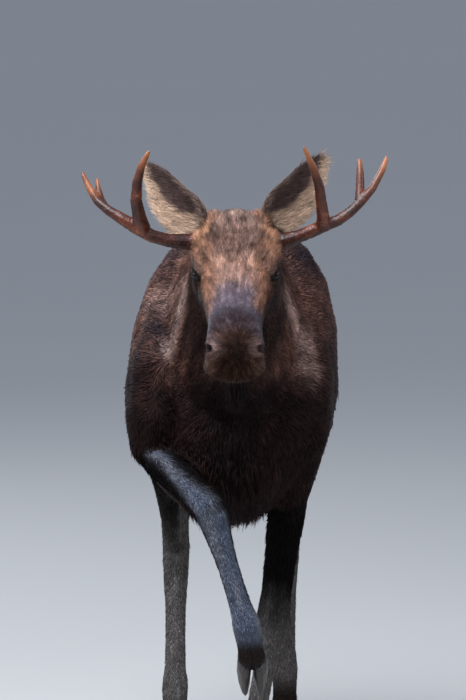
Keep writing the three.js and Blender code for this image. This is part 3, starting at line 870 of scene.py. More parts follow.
# %% Antler meshes
ANTLER_VOXEL = 0.0028
GROOVE_DEPTH, PEARL_HEIGHT = 0.0011, 0.0016
STRETCH = 0.93  # how much of a pattern's own change along the bar is taken out
BURR_AT, BURR_HALF, BURR_HEIGHT = 0.126, 0.007, 0.0045  # the ring of pearls, measured from the head's middle


def antler(side):
    nodes = [f"{side}_antler_{part}" for part in ("beam", "brow_tine", "rear_tine")]
    mesh = melted(f"{side}_antler", nodes, ANTLER_VOXEL, 16)
    points, normals = read_points(mesh), read_points(mesh, "normal")
    along = bar_direction(mesh, 24)
    squeezed = points - along * (STRETCH * np.sum(points * along, axis=1))[:, None]
    grooves = drift(squeezed, 0.0055, seed=11) + 0.5 * drift(squeezed, 0.003, seed=12)
    nearest = owner_finder(nodes)(points)
    share = np.zeros(len(points))
    for place, node in enumerate(nodes):
        low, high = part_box(node)
        share[nearest == place] = (points[nearest == place, 2] - low.z) / (high.z - low.z)
    from_middle = mirrored(points)[:, 0]
    base = ramp(0.21, 0.125, from_middle)
    worn = ramp(0.55, 0.95, share)
    pearls = np.clip(drift(points, 0.006, seed=13), 0, 1) * base
    rise = (GROOVE_DEPTH * grooves * (1 - worn) + PEARL_HEIGHT * pearls)[:, None] * normals
    burr = BURR_HEIGHT * np.exp(-(((from_middle - BURR_AT) / BURR_HALF) ** 2))
    rise += normals * (burr * (0.7 + 0.5 * drift(points, 0.008, seed=14)))[:, None]
    move_points(mesh, points + rise)
    store(mesh, "worn", worn)
    store(mesh, "groove", grooves)
    return mesh, nodes


ANTLERS = {side: antler(side) for side in EYES}
print("antler points:", {side: len(mesh.vertices) for side, (mesh, _) in ANTLERS.items()})

# %% Antler material
BONE_STOPS = (
    (0.25, (0.09, 0.032, 0.020)),
    (0.45, (0.18, 0.070, 0.040)),
    (0.62, (0.30, 0.130, 0.075)),
    (0.80, (0.50, 0.280, 0.185)),
)
TIP_STOPS = ((0.3, (0.34, 0.155, 0.08)), (0.75, (0.60, 0.37, 0.22)))
GROOVE_SHADE = 0.16


def math_node(nodes, operation, *terms):
    """The outcome of a sum on numbers and other nodes' outputs."""
    node = add_node(nodes, "ShaderNodeMath", operation=operation)
    for socket, term in zip(node.inputs, terms):
        give(socket, term)
    return node.outputs["Value"]


def antler_material():
    """Dark stained bone, darker in its grooves, and polished pale where the tips are rubbed."""
    material, nodes = new_material("antler bone", 0.45, Specular_IOR_Level=0.35)
    patches = noise(nodes, 17.0, Detail=4.0, Roughness=0.55).outputs["Fac"]
    grain = noise(nodes, 420.0, Detail=5.0).outputs["Fac"]
    worn = stored(nodes, "worn")
    shade = math_node(nodes, "MULTIPLY_ADD", stored(nodes, "groove"), GROOVE_SHADE, patches)
    bone = colour_ramp(nodes, BONE_STOPS, shade)
    tips = colour_ramp(nodes, TIP_STOPS, patches)
    colour = add_node(nodes, "ShaderNodeMix", data_type="RGBA", Factor=worn, A=bone, B=tips)
    rough = add_node(nodes, "ShaderNodeMapRange", Value=worn, To_Min=0.38, To_Max=0.30)
    bump = add_node(nodes, "ShaderNodeBump", Strength=0.5, Distance=0.0006, Height=grain)
    dress(nodes, Base_Color=colour.outputs["Result"], Roughness=rough.outputs["Result"])
    dress(nodes, Normal=bump.outputs["Normal"])
    return material


bone_finish = antler_material()
for side, (mesh, nodes) in ANTLERS.items():
    new_piece(f"{side}_antler", mesh, bone_finish, nodes)

# %% [markdown]
# ## Hooves
# Each foot has two long claws and two small dewclaws of dark horn. They keep their flat soles, so that
# the animal stands on the floor as its solids do, while their edges become round. The rings that the
# horn leaves as it grows follow the height above the sole.

# %% Hoof meshes
LEGS = [n for n in FLESH if is_leg(n)]
LIFTED = "right_foreleg"
LIFTED_PITCH = math.radians(48)
HOOF_VOXEL = 0.0024
SOLE_BAND = 0.0028  # what is closer than this to the lowest point is pressed flat
RING_SPACING, RING_HEIGHT = 0.0075, 0.00035


def hoof(leg):
    nodes = [n for n in sorted(NODES) if n.startswith(leg + "_")]
    mesh = melted(f"{leg}_hoof", nodes, HOOF_VOXEL, 7)
    points = read_points(mesh)
    pitch = LIFTED_PITCH if leg == LIFTED else 0
    up = np.array((0, -math.sin(pitch), math.cos(pitch)))
    height = points @ up
    height -= height.min()
    sole = height < SOLE_BAND
    points[sole] -= np.outer(height[sole], up)
    if leg != LIFTED:
        points[:, 2] -= points[:, 2].min()
    rings = np.sin(height * 2 * math.pi / RING_SPACING + 2.2 * drift(points, 0.03, seed=21))
    points += read_points(mesh, "normal") * (RING_HEIGHT * rings * ~sole)[:, None]
    if leg != LIFTED:
        points[:, 2] = np.maximum(points[:, 2], 0)
    move_points(mesh, points)
    store(mesh, "height", height)
    return mesh, nodes


HOOVES = {leg: hoof(leg) for leg in LEGS}
print("hoof points:", {leg: len(mesh.vertices) for leg, (mesh, _) in HOOVES.items()})

# %% Horn material
HORN_STOPS = ((0.3, (0.07, 0.06, 0.055)), (0.55, (0.15, 0.125, 0.11)), (0.75, (0.30, 0.25, 0.21)))


def horn_material():
    """Dark horn in layers one above the other, with pale scuffs."""
    material, nodes = new_material("dark horn", 0.42)
    place = add_node(nodes, "ShaderNodeCombineXYZ", Z=stored(nodes, "height")).outputs["Vector"]
    layers = add_node(nodes, "ShaderNodeTexNoise", Scale=260.0, Detail=4.0, Vector=place).outputs["Fac"]
    scuffs = noise(nodes, 45.0, Detail=7.0, Roughness=0.7).outputs["Fac"]
    mean = math_node(nodes, "MULTIPLY", math_node(nodes, "ADD", layers, scuffs), 0.5)
    bump = add_node(nodes, "ShaderNodeBump", Strength=0.6, Distance=0.0008, Height=layers)
    dress(nodes, Base_Color=colour_ramp(nodes, HORN_STOPS, mean), Normal=bump.outputs["Normal"])
    return material


horn_finish = horn_material()
for leg, (mesh, nodes) in HOOVES.items():
    new_piece(f"{leg}_hoof", mesh, horn_finish, nodes)

# %% [markdown]
# ## Which part, which way, which colour
# Three things have to be known at every point of the skin before hair can grow: which part of the body
# it is on, which way the hair lies there, and its colour. All three are worked out once, on the skin's
# own points. The skin's material and every tuft read the same numbers, so their markings always agree.

# %% Body areas
skin_mesh.name = "skin"
POINTS, NORMALS = read_points(skin_mesh), read_points(skin_mesh, "normal")
EDGES = read_edges(skin_mesh)
owner = find_owner(POINTS)
one_of_each = (owner[:, None] == np.arange(len(MELTED))).astype(float)
shares = soften(one_of_each, EDGES, 7)
AREA = {node: shares[:, place] for place, node in enumerate(MELTED)}
BARE = sum(AREA[node] for node in CORES)
LEG_AREA = sum(AREA[leg] for leg in LEGS)
EAR_AREA = AREA["left_ear"] + AREA["right_ear"]
HEAD = to_head(POINTS)
SIDE, ALONG, HEIGHT = np.abs(HEAD[:, 0]), HEAD[:, 1], HEAD[:, 2]
X, Y, Z = POINTS.T
MIDLINE = midline(POINTS)
FROM_MIDLINE = np.abs(X - MIDLINE)
OUT = np.where(X > MIDLINE, 1.0, -1.0)
CREST = crest(POINTS) * (AREA["trunk"] + AREA["neck"])
print("areas:", {node: int(AREA[node].sum()) for node in FLESH})

# %% [markdown]
# ### The lie of the hair
# Hair points back from the nose, fans out from a whorl on the nose tip, sweeps back and down over neck and
# flanks, runs down the legs and up the ears. Each area has one simple direction or formula. The soft
# shares of the areas mix them, and what points into or out of the skin is taken away.

# %% Directions
WHORL = np.array((0.0, -0.650, -0.088))  # on the nose, in the head's frame


def unit(vectors):
    return vectors / (np.linalg.norm(vectors, axis=-1, keepdims=True) + 1e-9)


def directions(*parts):
    """One direction for each point, from numbers or arrays."""
    return unit(np.stack([part * np.ones(len(POINTS)) for part in parts], 1))


FROM_WHORL = HEAD - WHORL
WHORL_REACH = np.linalg.norm(FROM_WHORL, axis=1)
print("nearest point to the whorl:", round(1000 * float(WHORL_REACH.min()), 1), "mm away")

# %% Lie of the hair on head, legs and ears
# where each ear starts and ends in the CAD, and the way that it opens
EARS = {
    "right": {
        "root": (-0.1204, -0.7637, 1.852),
        "tip": (-0.2534, -0.6897, 2.024),
        "opening": (-0.58, -0.80, 0.10),
    },
    "left": {
        "root": (0.1176, -0.7637, 1.860),
        "tip": (0.2576, -0.6977, 2.050),
        "opening": (0.52, -0.85, 0.10),
    },
}
HOOFWARD = np.array((0.15, -0.45, -0.88))  # roughly down every leg, the lifted one too


def ear_axes(side):
    """Rows: from root to tip, toward the midline across the ear, and out of its opening."""
    ear = {name: np.array(value) for name, value in EARS[side].items()}
    axis = unit(ear["tip"] - ear["root"])
    out = unit(ear["opening"] - axis * (ear["opening"] @ axis))
    inner = np.cross(axis, out)
    return np.array((axis, inner * -np.sign(inner[0]) * SIGN[side], out))


def lie_of_head():
    outward = 0.25 * np.sign(HEAD[:, 0]) * ramp(0.02, 0.09, SIDE)
    back = directions(outward, 1.0, -0.30 * ramp(-0.06, -0.16, HEIGHT))
    near = ramp(0.16, 0.06, WHORL_REACH)[:, None]
    return (near * unit(FROM_WHORL) + (1 - near) * back) @ np.array(head_turn).T


def lie_of_legs():
    """Along each leg's own bar, toward its hoof."""
    along = bar_direction(skin_mesh, 40)
    return along * np.sign(along @ HOOFWARD)[:, None]


def lie_of_ears():
    """Up the ear outside, and from its rim into the opening inside."""
    total = np.zeros_like(POINTS)
    for side in EARS:
        axis, inner, out = ear_axes(side)
        inside = ramp(0.0, 0.4, NORMALS @ out)[:, None]
        lie = (1 - inside) * axis + inside * unit(0.75 * axis - 0.65 * inner)
        total += AREA[f"{side}_ear"][:, None] * lie
    return total


lie = AREA["head"][:, None] * lie_of_head() + LEG_AREA[:, None] * lie_of_legs() + lie_of_ears()
print("points on the head:", int(AREA["head"].sum()), "on legs:", int(LEG_AREA.sum()))

# %% Lie of the hair on the body, and all of it together
EYE_PARTING = 1.6  # how strongly hair points away from the eyes

chest = ramp(-0.10, -0.35, Y) * ramp(1.30, 1.05, Z)
rump = ramp(0.85, 1.20, Y)
top = ramp(0.55, 0.90, NORMALS[:, 2])
fall = -0.36 - 0.6 * rump - 0.5 * chest
lie += AREA["neck"][:, None] * directions(0.42 * OUT, 0.62 - 0.5 * chest, -0.75 + 0.5 * top)
lie += AREA["trunk"][:, None] * directions(0.30 * OUT * top, 1.0 - 0.5 * rump - 0.8 * chest, fall)
lie += (AREA["bell"] + AREA["tail"])[:, None] * directions(0, 0.1, -1)
lie = soften(lie, EDGES, 10)
for side in EYES:
    reach = on_the_ball(POINTS, side)[3]
    out = POINTS - np.array(EYES[side])
    lie += (AREA["head"] * ramp(0.055, 0.024, reach) * EYE_PARTING)[:, None] * unit(out)
flat_lie = lie - NORMALS * np.sum(lie * NORMALS, 1)[:, None]
SURE = ramp(0.15, 0.60, np.linalg.norm(flat_lie, axis=1))  # small where the hair parts or whirls
LIE = unit(flat_lie)
print("hair parts or whirls at", int(np.sum(SURE < 0.5)), "of", len(LIE), "points")

# %% Places for streaks
# squeezed along the mean lie of each area, so that patterns on them run in streaks
SQUEEZE = 0.88
KNEE_LEVEL = 1.0  # below it the shin of the lifted foreleg hangs down, so it has streaks of its own

zone = np.where((owner == MELTED.index(LIFTED)) & (Z < KNEE_LEVEL), len(MELTED), owner)
COMBED = POINTS.copy()
for place in np.unique(zone):
    mine = zone == place
    mean = unit(LIE[mine].sum(0))
    COMBED[mine] -= np.outer(SQUEEZE * (POINTS[mine] @ mean), mean)
print("areas with their own streaks:", len(np.unique(zone)))

# %% [markdown]
# ### Markings
# The colours are laid on as a painter would: a dark brown ground, then each marking through its own soft
# edged mask. The edges wander with a random field, as the border between two coats of hair does.


# %% Painting
def paint(colour, mask, red, green, blue):
    """Lays a screen colour over what is there, through a mask."""
    return colour + mask[:, None] * (srgb(red, green, blue) - colour)


def blob(centre, radii):
    """1 in the middle of an ellipsoid in the head's frame, on both sides, fading outward."""
    return np.exp(-np.sum(((mirrored(POINTS) - centre) / radii) ** 2, axis=1))


def ground(red, green, blue):
    """One screen colour on every point."""
    return np.tile(srgb(red, green, blue), (len(POINTS), 1))


HEAD_WANDER = 0.012 * drift(POINTS, 0.028, seed=31) + 0.006 * drift(POINTS, 0.009, seed=32)
HEAD_PATCHES = drift(COMBED, 0.0075, seed=33) + 0.8 * drift(POINTS, 0.016, seed=34)
FACE_STREAKS = drift(COMBED, 0.009, seed=35) + 0.8 * drift(COMBED, 0.0045, seed=36)
# places on the head whose borders wander
WAVY_SIDE, WAVY_ALONG, WAVY_HEIGHT = (place + HEAD_WANDER for place in (SIDE, ALONG, HEIGHT))
print("borders on the head wander by", round(1000 * float(np.abs(HEAD_WANDER).max())), "mm")


# %% Forehead and cheeks
def forehead(colour):
    """A brown face with a dark, ragged crown, golden sides and painted shade over the brow."""
    wander, patches = HEAD_WANDER, HEAD_PATCHES
    cheek = ramp(-0.155, -0.115, WAVY_HEIGHT) * ramp(-0.50, -0.38, ALONG) * ramp(-0.18, -0.25, ALONG)
    colour = paint(colour, 0.75 * cheek, 0.27, 0.17, 0.135)
    face = ramp(-0.112, -0.084, WAVY_HEIGHT) * ramp(-0.54, -0.46, WAVY_ALONG) * ramp(0.10, 0.0, ALONG)
    colour = paint(colour, face, 0.535, 0.39, 0.32)
    upper = ramp(-0.15, -0.11, WAVY_HEIGHT)
    middle = upper * ramp(0.075, 0.030, WAVY_SIDE) * ramp(-0.40, -0.34, WAVY_ALONG)
    colour = paint(colour, 0.8 * middle, 0.67, 0.53, 0.47)
    golden = ramp(0.060, 0.085, SIDE) * ramp(-0.20, -0.14, WAVY_ALONG) * ramp(-0.10, -0.07, WAVY_HEIGHT)
    colour = paint(colour, 0.8 * golden, 0.69, 0.52, 0.42)
    edge = np.interp(ALONG, (-0.25, -0.15, -0.05, 0.02), (0.050, 0.066, 0.050, 0.040))
    ragged = 2.2 * wander + 0.010 * patches
    crown = upper * ramp(edge + 0.020, edge - 0.012, SIDE + ragged)
    crown = crown * ramp(-0.285, -0.195, ALONG + 1.5 * ragged)
    colour = paint(colour, 0.85 * crown, 0.43, 0.35, 0.33)
    colour = paint(colour, 0.85 * crown * ramp(0.2, 1.0, patches), 0.60, 0.50, 0.46)
    colour = paint(colour, 0.80 * crown * ramp(-0.2, -0.9, patches), 0.20, 0.150, 0.14)
    # painted shade over the brow, under the antler bases and the brow ridge
    brow_shade = upper * ramp(-0.090, -0.135, WAVY_ALONG) * ramp(-0.240, -0.200, WAVY_ALONG)
    colour = paint(colour, 0.42 * brow_shade, 0.32, 0.235, 0.205)
    below_brow = upper * ramp(-0.250, -0.285, WAVY_ALONG) * ramp(0.090, 0.060, SIDE)
    colour = paint(colour, 0.32 * below_brow, 0.42, 0.35, 0.34)
    colour = colour * np.exp(0.56 * FACE_STREAKS)[:, None]
    temple = ramp(-0.10, -0.02, ALONG) * ramp(0.045, 0.075, SIDE)
    return paint(colour, 0.5 * temple, 0.40, 0.30, 0.25)


head_colour = forehead(ground(0.118, 0.078, 0.070))
print("forehead and cheeks, mean colour:", head_colour.mean(0).round(3))

# %% Bridge of the nose
# how wide the grey bridge is to each side, from the muzzle back to the eyes
BRIDGE_ALONG = (-0.56, -0.52, -0.48, -0.435, -0.384, -0.35, -0.32, -0.28)
BRIDGE_HALF = (0.130, 0.095, 0.066, 0.054, 0.050, 0.046, 0.041, 0.035)


def bridge_of_nose(colour):
    """A grey band along the nose that widens over the muzzle and fades between the eyes."""
    wander, patches = HEAD_WANDER, HEAD_PATCHES
    half = np.interp(ALONG, BRIDGE_ALONG, BRIDGE_HALF)
    faded = ramp(-0.255, -0.400, ALONG + 1.5 * wander + 0.014 * patches)
    across = ramp(half + 0.024, half - 0.018, SIDE + 1.6 * wander + 0.005 * patches)
    bridge = across * faded * ramp(-0.12, -0.09, HEIGHT)
    colour = paint(colour, 0.92 * bridge, 0.45, 0.40, 0.44)
    colour = paint(colour, 0.45 * bridge * ramp(-0.36, -0.46, ALONG), 0.30, 0.29, 0.35)
    return colour * np.exp(0.40 * FACE_STREAKS * bridge)[:, None]


head_colour = bridge_of_nose(head_colour)
print("with the bridge:", head_colour.mean(0).round(3))


# %% Muzzle, lips and chin
def muzzle(colour):
    """A slate muzzle with painted bluish highlights of the sky on its shoulders, a painted highlight on the
    nostril wings, pale lips, and a dark whorl with rays on the nose tip.
    """
    colour = paint(colour, ramp(-0.46, -0.54, WAVY_ALONG), 0.225, 0.185, 0.20)
    # painted bluish highlights: the sky's reflection on the two shoulders of the muzzle
    colour = paint(colour, 0.85 * blob((0.080, -0.560, -0.078), (0.017, 0.060, 0.036)), 0.33, 0.33, 0.375)
    colour = paint(colour, 0.45 * blob((0.050, -0.520, -0.045), (0.035, 0.025, 0.020)), 0.34, 0.33, 0.38)
    colour = paint(colour, ramp(-0.590, -0.630, WAVY_ALONG), 0.19, 0.125, 0.10)
    # painted highlight on the wing of each nostril
    colour = paint(colour, 0.80 * blob((0.064, -0.634, -0.092), (0.026, 0.034, 0.024)), 0.47, 0.39, 0.385)
    lips = ramp(-0.108, -0.140, WAVY_HEIGHT) * ramp(-0.53, -0.59, ALONG)
    colour = paint(colour, lips, 0.18, 0.115, 0.09)
    colour = paint(colour, 0.6 * blob((0.072, -0.640, -0.145), (0.028, 0.035, 0.024)), 0.42, 0.33, 0.30)
    chin = ramp(-0.175, -0.200, HEIGHT) * ramp(-0.50, -0.56, ALONG)
    colour = paint(colour, 0.85 * chin, 0.09, 0.055, 0.045)
    tip = ramp(0.046, 0.010, np.linalg.norm(FROM_WHORL * (1.0, 1.0, 0.8), axis=1) + 1.5 * HEAD_WANDER)
    colour = paint(colour, 0.80 * tip, 0.10, 0.07, 0.06)
    spokes = unit(FROM_WHORL) * 0.05
    rays = drift(spokes + 0.12 * FROM_WHORL, 0.0042, seed=37)
    rays += 0.6 * drift(spokes + 0.2 * FROM_WHORL, 0.002, seed=38)
    colour = colour * np.exp(0.55 * rays * ramp(0.15, 0.09, WHORL_REACH))[:, None]
    flecks = drift(POINTS, 0.0048, seed=39) * ramp(-0.50, -0.56, ALONG)
    return colour * np.exp(0.45 * flecks)[:, None]


head_colour = muzzle(head_colour)
print("with the muzzle:", head_colour.mean(0).round(3))


# %% Round the eyes, nostrils and mouth
def around_eye(colour, side):
    """A brown surround, dark below, a fold over the lid drawn with painted shadow in its crease and a
    painted highlight on its edge above, and a dark rim.
    """
    front, up, almond, reach = on_the_ball(POINTS, side)
    near = ramp(0.072, 0.030, reach + 0.5 * HEAD_WANDER)
    colour = paint(colour, 0.78 * near, 0.35, 0.28, 0.26)
    colour = paint(colour, 0.85 * near * ramp(-0.004, -0.016, up + 0.4 * front), 0.125, 0.082, 0.070)
    arc = np.hypot(front * 0.9, up)
    window = ramp(0.0, 0.4, up / (arc + 1e-6)) * ramp(-0.030, -0.014, front) * (reach < SOCKET)
    fold = FOLDS[-1][0]
    # the fold drawn in paint: a painted highlight along its upper edge, and painted shadow in its crease
    pale = np.exp(-(((arc - fold - 0.0042) / 0.0026) ** 2)) * window
    dark = np.exp(-(((arc - fold) / 0.0022) ** 2)) * window
    colour = paint(colour, 0.60 * dark, 0.14, 0.10, 0.09)
    colour = paint(colour, 0.60 * pale, 0.70, 0.59, 0.52)
    return paint(colour, 0.9 * ramp(1.40, 1.12, almond) * (reach < 0.03), 0.085, 0.065, 0.065)


NOSTRILS, LIP_LINE = nostril_nearness(mirrored(POINTS)), mouth_nearness(mirrored(POINTS))
for side in EYES:
    head_colour = around_eye(head_colour, side)
# painted shade: the insides of the nostrils and the groove of the mouth are darkened
head_colour = paint(head_colour, np.clip(1.3 * NOSTRILS, 0, 1), 0.03, 0.02, 0.02)
head_colour = paint(head_colour, 0.85 * LIP_LINE, 0.06, 0.04, 0.035)
print("head finished:", head_colour.mean(0).round(3))

# %% Ground and marks of the body
# places of darker hair on neck and shoulders, tinted with a painted bluish sheen of the sky: centre and
# radii
DARK_PATCHES_WITH_SHEEN = (
    ((-0.29, -0.36, 1.37), (0.06, 0.12, 0.10)),
    ((-0.22, -0.36, 1.50), (0.04, 0.10, 0.05)),
    ((0.22, -0.18, 1.72), (0.10, 0.14, 0.09)),
    ((-0.20, -0.16, 1.73), (0.08, 0.12, 0.06)),
)
# pale streaks of hair along the neck: path, width and strength
NECK_STREAKS = (
    ([(-0.14, -0.58, 1.67), (-0.15, -0.54, 1.61), (-0.17, -0.48, 1.54), (-0.19, -0.42, 1.46)], 0.028, 1.0),
    ([(-0.16, -0.48, 1.66), (-0.19, -0.36, 1.59), (-0.25, -0.19, 1.56)], 0.045, 0.24),
    ([(0.14, -0.60, 1.66), (0.18, -0.44, 1.56), (0.205, -0.38, 1.455), (0.215, -0.39, 1.36)], 0.040, 0.50),
)


def mottled_body(streaks, wander):
    """A brown ground with lighter and darker streaks, painted shade over the left side, and the marks on
    neck and shoulders, whose dark patches carry a painted bluish sheen.
    """
    colour = ground(0.335, 0.240, 0.215)
    mottled = 0.8 - 0.4 * ramp(-0.1, 0.4, Y)
    colour = paint(colour, mottled * ramp(-0.1, 0.8, streaks + 5 * wander), 0.48, 0.345, 0.30)
    colour = paint(colour, mottled * ramp(-0.1, -0.8, streaks + 5 * wander), 0.15, 0.108, 0.104)
    # painted shade: the animal's left side, away from the light, is darkened
    left = ramp(-0.05, 0.15, X - MIDLINE)
    colour = paint(colour, 0.30 * left, 0.20, 0.145, 0.14)
    for path, wide, strength in NECK_STREAKS:
        near = strength * np.exp(-((distance_to_path(POINTS, path) / wide) ** 2))
        colour = paint(colour, np.clip(near * (0.85 + 0.7 * streaks), 0, 0.95), 0.74, 0.64, 0.61)
    # darker hair with a painted bluish sky sheen on it
    for centre, radii in DARK_PATCHES_WITH_SHEEN:
        near = np.exp(-np.sum(((POINTS - centre) / radii) ** 2, axis=1) + 3 * wander)
        colour = paint(colour, np.clip(0.85 * near, 0, 0.85), 0.135, 0.125, 0.155)
    return colour


BODY_WANDER = 0.05 * drift(POINTS, 0.16, seed=41) + 0.02 * drift(POINTS, 0.05, seed=42)
BODY_STREAKS = drift(COMBED, 0.020, seed=43) + 0.8 * drift(COMBED, 0.010, seed=44)
body_colour = mottled_body(BODY_STREAKS, BODY_WANDER)
print("body's ground, mean colour:", body_colour.mean(0).round(3))


# %% Colours of the body
def body_shades(colour, streaks, wander):
    """Painted shadow on the neck behind and under the head, the bell's dark hair, a darker underside with
    painted shade in it, the dark crest, and a paler groin.
    """
    fine = drift(COMBED, 0.013, seed=45) + 0.7 * drift(COMBED, 0.007, seed=46)
    # painted shadow on the neck just behind the lower edge of the head
    shadow_behind_jaw = ramp(0.16, 0.06, ALONG + wander) * ramp(-0.10, -0.18, HEIGHT) * ramp(0.168, 0.128, SIDE)
    shadow_behind_jaw = shadow_behind_jaw * ramp(-0.56, -0.40, HEIGHT)
    colour = paint(colour, 0.8 * shadow_behind_jaw, 0.11, 0.085, 0.085)
    beside_jaw = ramp(-0.33, -0.48, Y) * ramp(0.22, 0.17, FROM_MIDLINE) * ramp(1.32, 1.42, Z)
    # darker towards the bottom: the lower coat's own dark hair, deepened by painted shade under the light
    # from above
    low = ramp(1.53, 1.30, Z + 1.5 * wander - 0.10 * ramp(0.0, 0.5, Y) + 0.07 * beside_jaw)
    colour = paint(colour, 0.92 * low, 0.100, 0.070, 0.074)
    # painted shadow at the front of the neck under the head; the bell added with it is its own dark hair
    under_head_shadow = ramp(0.13, 0.05, FROM_MIDLINE + wander) * ramp(-0.15, -0.35, Y) * ramp(1.62, 1.45, Z)
    colour = paint(colour, np.clip(0.8 * under_head_shadow + AREA["bell"], 0, 1), 0.090, 0.070, 0.078)
    colour = paint(colour, 0.85 * CREST, 0.13, 0.110, 0.12)
    flank = ramp(0.0, 0.4, Y) * ramp(1.00, 1.3, Z + wander) * ramp(1.72, 1.5, Z)
    colour = paint(colour, 0.35 * flank * ramp(-0.4, 1.0, streaks), 0.34, 0.25, 0.21)
    groin = ramp(0.62, 0.80, Y) * ramp(0.16, 0.06, FROM_MIDLINE) * ramp(1.08, 0.98, Z)
    groin = groin + 0.4 * ramp(1.17, 1.22, Y) * ramp(0.09, 0.03, FROM_MIDLINE) * ramp(1.50, 1.38, Z)
    return paint(colour, np.clip(0.8 * groin, 0, 1), 0.42, 0.36, 0.32) * np.exp(0.38 * fine)[:, None]


body_colour = body_shades(body_colour, BODY_STREAKS, BODY_WANDER)
print("body, mean colour:", body_colour.mean(0).round(3))

# %% Colours of the legs
# the pale stripe on the lifted foreleg, from the elbow over the knee
STRIPE = ((-0.262, -0.43, 1.150), (-0.225, -0.471, 1.135), (-0.18, -0.554, 1.088), (-0.141, -0.633, 1.053),
          (-0.096, -0.727, 1.018))
STRIPE_WIDE = {"at": (-0.75, -0.64, -0.55, -0.43), "half": (0.045, 0.030, 0.019, 0.015)}


def leg_colours():
    """Black-brown above, pale grey below and inside, with the stripe on the lifted foreleg, whose pale hair
    carries a painted bluish sheen.
    """
    wander = 0.05 * drift(POINTS, 0.07, seed=51) + 0.02 * drift(COMBED, 0.012, seed=52)
    fore = AREA["left_foreleg"] + AREA[LIFTED]
    pale = np.where(fore > 0.5, ramp(0.74, 0.44, Z + wander), ramp(0.88, 0.50, Z + wander))
    inner = ramp(0.1, 0.6, -OUT * NORMALS[:, 0])
    pale = np.maximum(pale, 0.8 * inner * ramp(1.0, 0.8, Z + wander) * (fore < 0.5))
    front = ramp(-0.10, -0.62, NORMALS[:, 1] + 2 * wander)
    wide = np.interp(Y, STRIPE_WIDE["at"], STRIPE_WIDE["half"])
    stripe = np.exp(-((distance_to_path(POINTS, STRIPE) / wide) ** 2))
    shin = np.maximum(front * ramp(1.03, 0.98, Z), ramp(0.80, 0.66, Z))
    lifted = ramp(0.3, 0.7, AREA[LIFTED])
    pale = pale * (1 - lifted) + lifted * np.maximum(stripe, shin)
    colour = ground(0.065, 0.052, 0.056)
    colour = paint(colour, pale, 0.38, 0.365, 0.36)
    # painted bluish sheen of the sky on the lifted leg's pale hair
    colour = paint(colour, lifted * pale, 0.345, 0.375, 0.44)
    patches = ramp(0.1, 0.9, drift(COMBED, 0.018, seed=53)) * pale
    colour = paint(colour, 0.35 * patches, 0.58, 0.56, 0.56)
    cuff = sum(ramp(0.16, 0.08, up_the_leg(POINTS, leg)) * AREA[leg] for leg in LEGS)
    return paint(colour, np.clip(cuff, 0, 1), 0.17, 0.14, 0.13)


leg_colour = leg_colours()
print("legs, mean colour:", leg_colour[LEG_AREA > 0.5].mean(0).round(3))

# %% Colours of the ears
EAR_LENGTH, EAR_HALF = 0.238, 0.066
# where the cream lining ends across the ear, from its root to its tip
LINING_EDGE = {"at": (0.0, 0.15, 0.45, 0.8, 1.0), "across": (0.70, 0.15, -0.22, -0.05, 0.2)}


def ear_colours():
    """Grey-brown ears with a cream lining at one side, a pale inner rim and a dark outer one."""
    colour = ground(0.30, 0.245, 0.238)
    for side in EARS:
        axis, inner, out = ear_axes(side)
        away = POINTS - np.array(EARS[side]["root"])
        share = away @ axis / EAR_LENGTH
        across = away @ inner / EAR_HALF
        mine = AREA[f"{side}_ear"]
        inside = ramp(0.05, 0.35, NORMALS @ out) * mine
        wander = 0.14 * drift(POINTS, 0.022, seed=61)
        border = np.interp(share, LINING_EDGE["at"], LINING_EDGE["across"])
        cream = inside * ramp(border + 0.10, border - 0.12, across + wander)
        colour = paint(colour, cream, 0.65, 0.555, 0.485)
        mottle = cream * ramp(-0.1, 0.9, drift(COMBED, 0.010, seed=62) - 0.6 * across - 0.5)
        colour = paint(colour, 0.75 * mottle, 0.36, 0.315, 0.305)
        outline = across / (1.02 - 0.9 * np.clip(share - 0.3, 0, 1) ** 2)  # 1 and -1 at the ear's two rims
        colour = paint(colour, 0.30 * ramp(0.80, 0.96, outline) * mine, 0.50, 0.42, 0.37)
        colour = paint(colour, 0.7 * ramp(-0.80, -0.95, outline) * mine, 0.20, 0.165, 0.16)
    return colour


ear_colour = ear_colours()
print("ears, mean colour:", ear_colour[EAR_AREA > 0.5].mean(0).round(3))

# %% All colours together
COLOUR = body_colour.copy()
for share, colours in ((AREA["head"], head_colour), (LEG_AREA, leg_colour), (EAR_AREA, ear_colour)):
    COLOUR += ramp(0.15, 0.85, share)[:, None] * (colours - COLOUR)
print("colours from", COLOUR.min(0).round(3), "to", COLOUR.max(0).round(3))

# %% [markdown]
# ## The skin
# One skin covers the whole animal. Its unwrap is made by Smart UV Project, which cuts it by its own
# angles, so each place has its own spot on the map. Its fine relief is a noise stretched along the hair.

# %% Skin material
STREAK_STOPS = ((0.30, (0.55, 0.55, 0.55)), (0.52, (0.86, 0.85, 0.84)), (0.72, (1.0, 1.0, 1.0)))


def skin_finish():
    """The coat's own colours, darkened and raised by fine streaks along the hair."""
    material, nodes = new_material("short hair on skin", 0.6, Specular_IOR_Level=0.03)
    streaks = add_node(
        nodes,
        "ShaderNodeTexNoise",
        Vector=stored(nodes, "combed", "Vector"),
        Scale=330.0,
        Detail=5.0,
        Roughness=0.62,
    ).outputs["Fac"]
    shade = colour_ramp(nodes, STREAK_STOPS, streaks)
    coat = stored(nodes, "coat", "Color")
    mix = add_node(
        nodes, "ShaderNodeMix", data_type="RGBA", blend_type="MULTIPLY", Factor=1.0, A=coat, B=shade
    )
    bump = add_node(nodes, "ShaderNodeBump", Strength=0.9, Distance=0.0022, Height=streaks)
    dress(nodes, Base_Color=mix.outputs["Result"], Normal=bump.outputs["Normal"])
    return material


hide = skin_finish()
print("skin material:", len(hide.node_tree.nodes), "nodes")


# %% Skin piece and its unwrap
def with_alpha(colours):
    return np.hstack((colours, np.ones((len(colours), 1))))


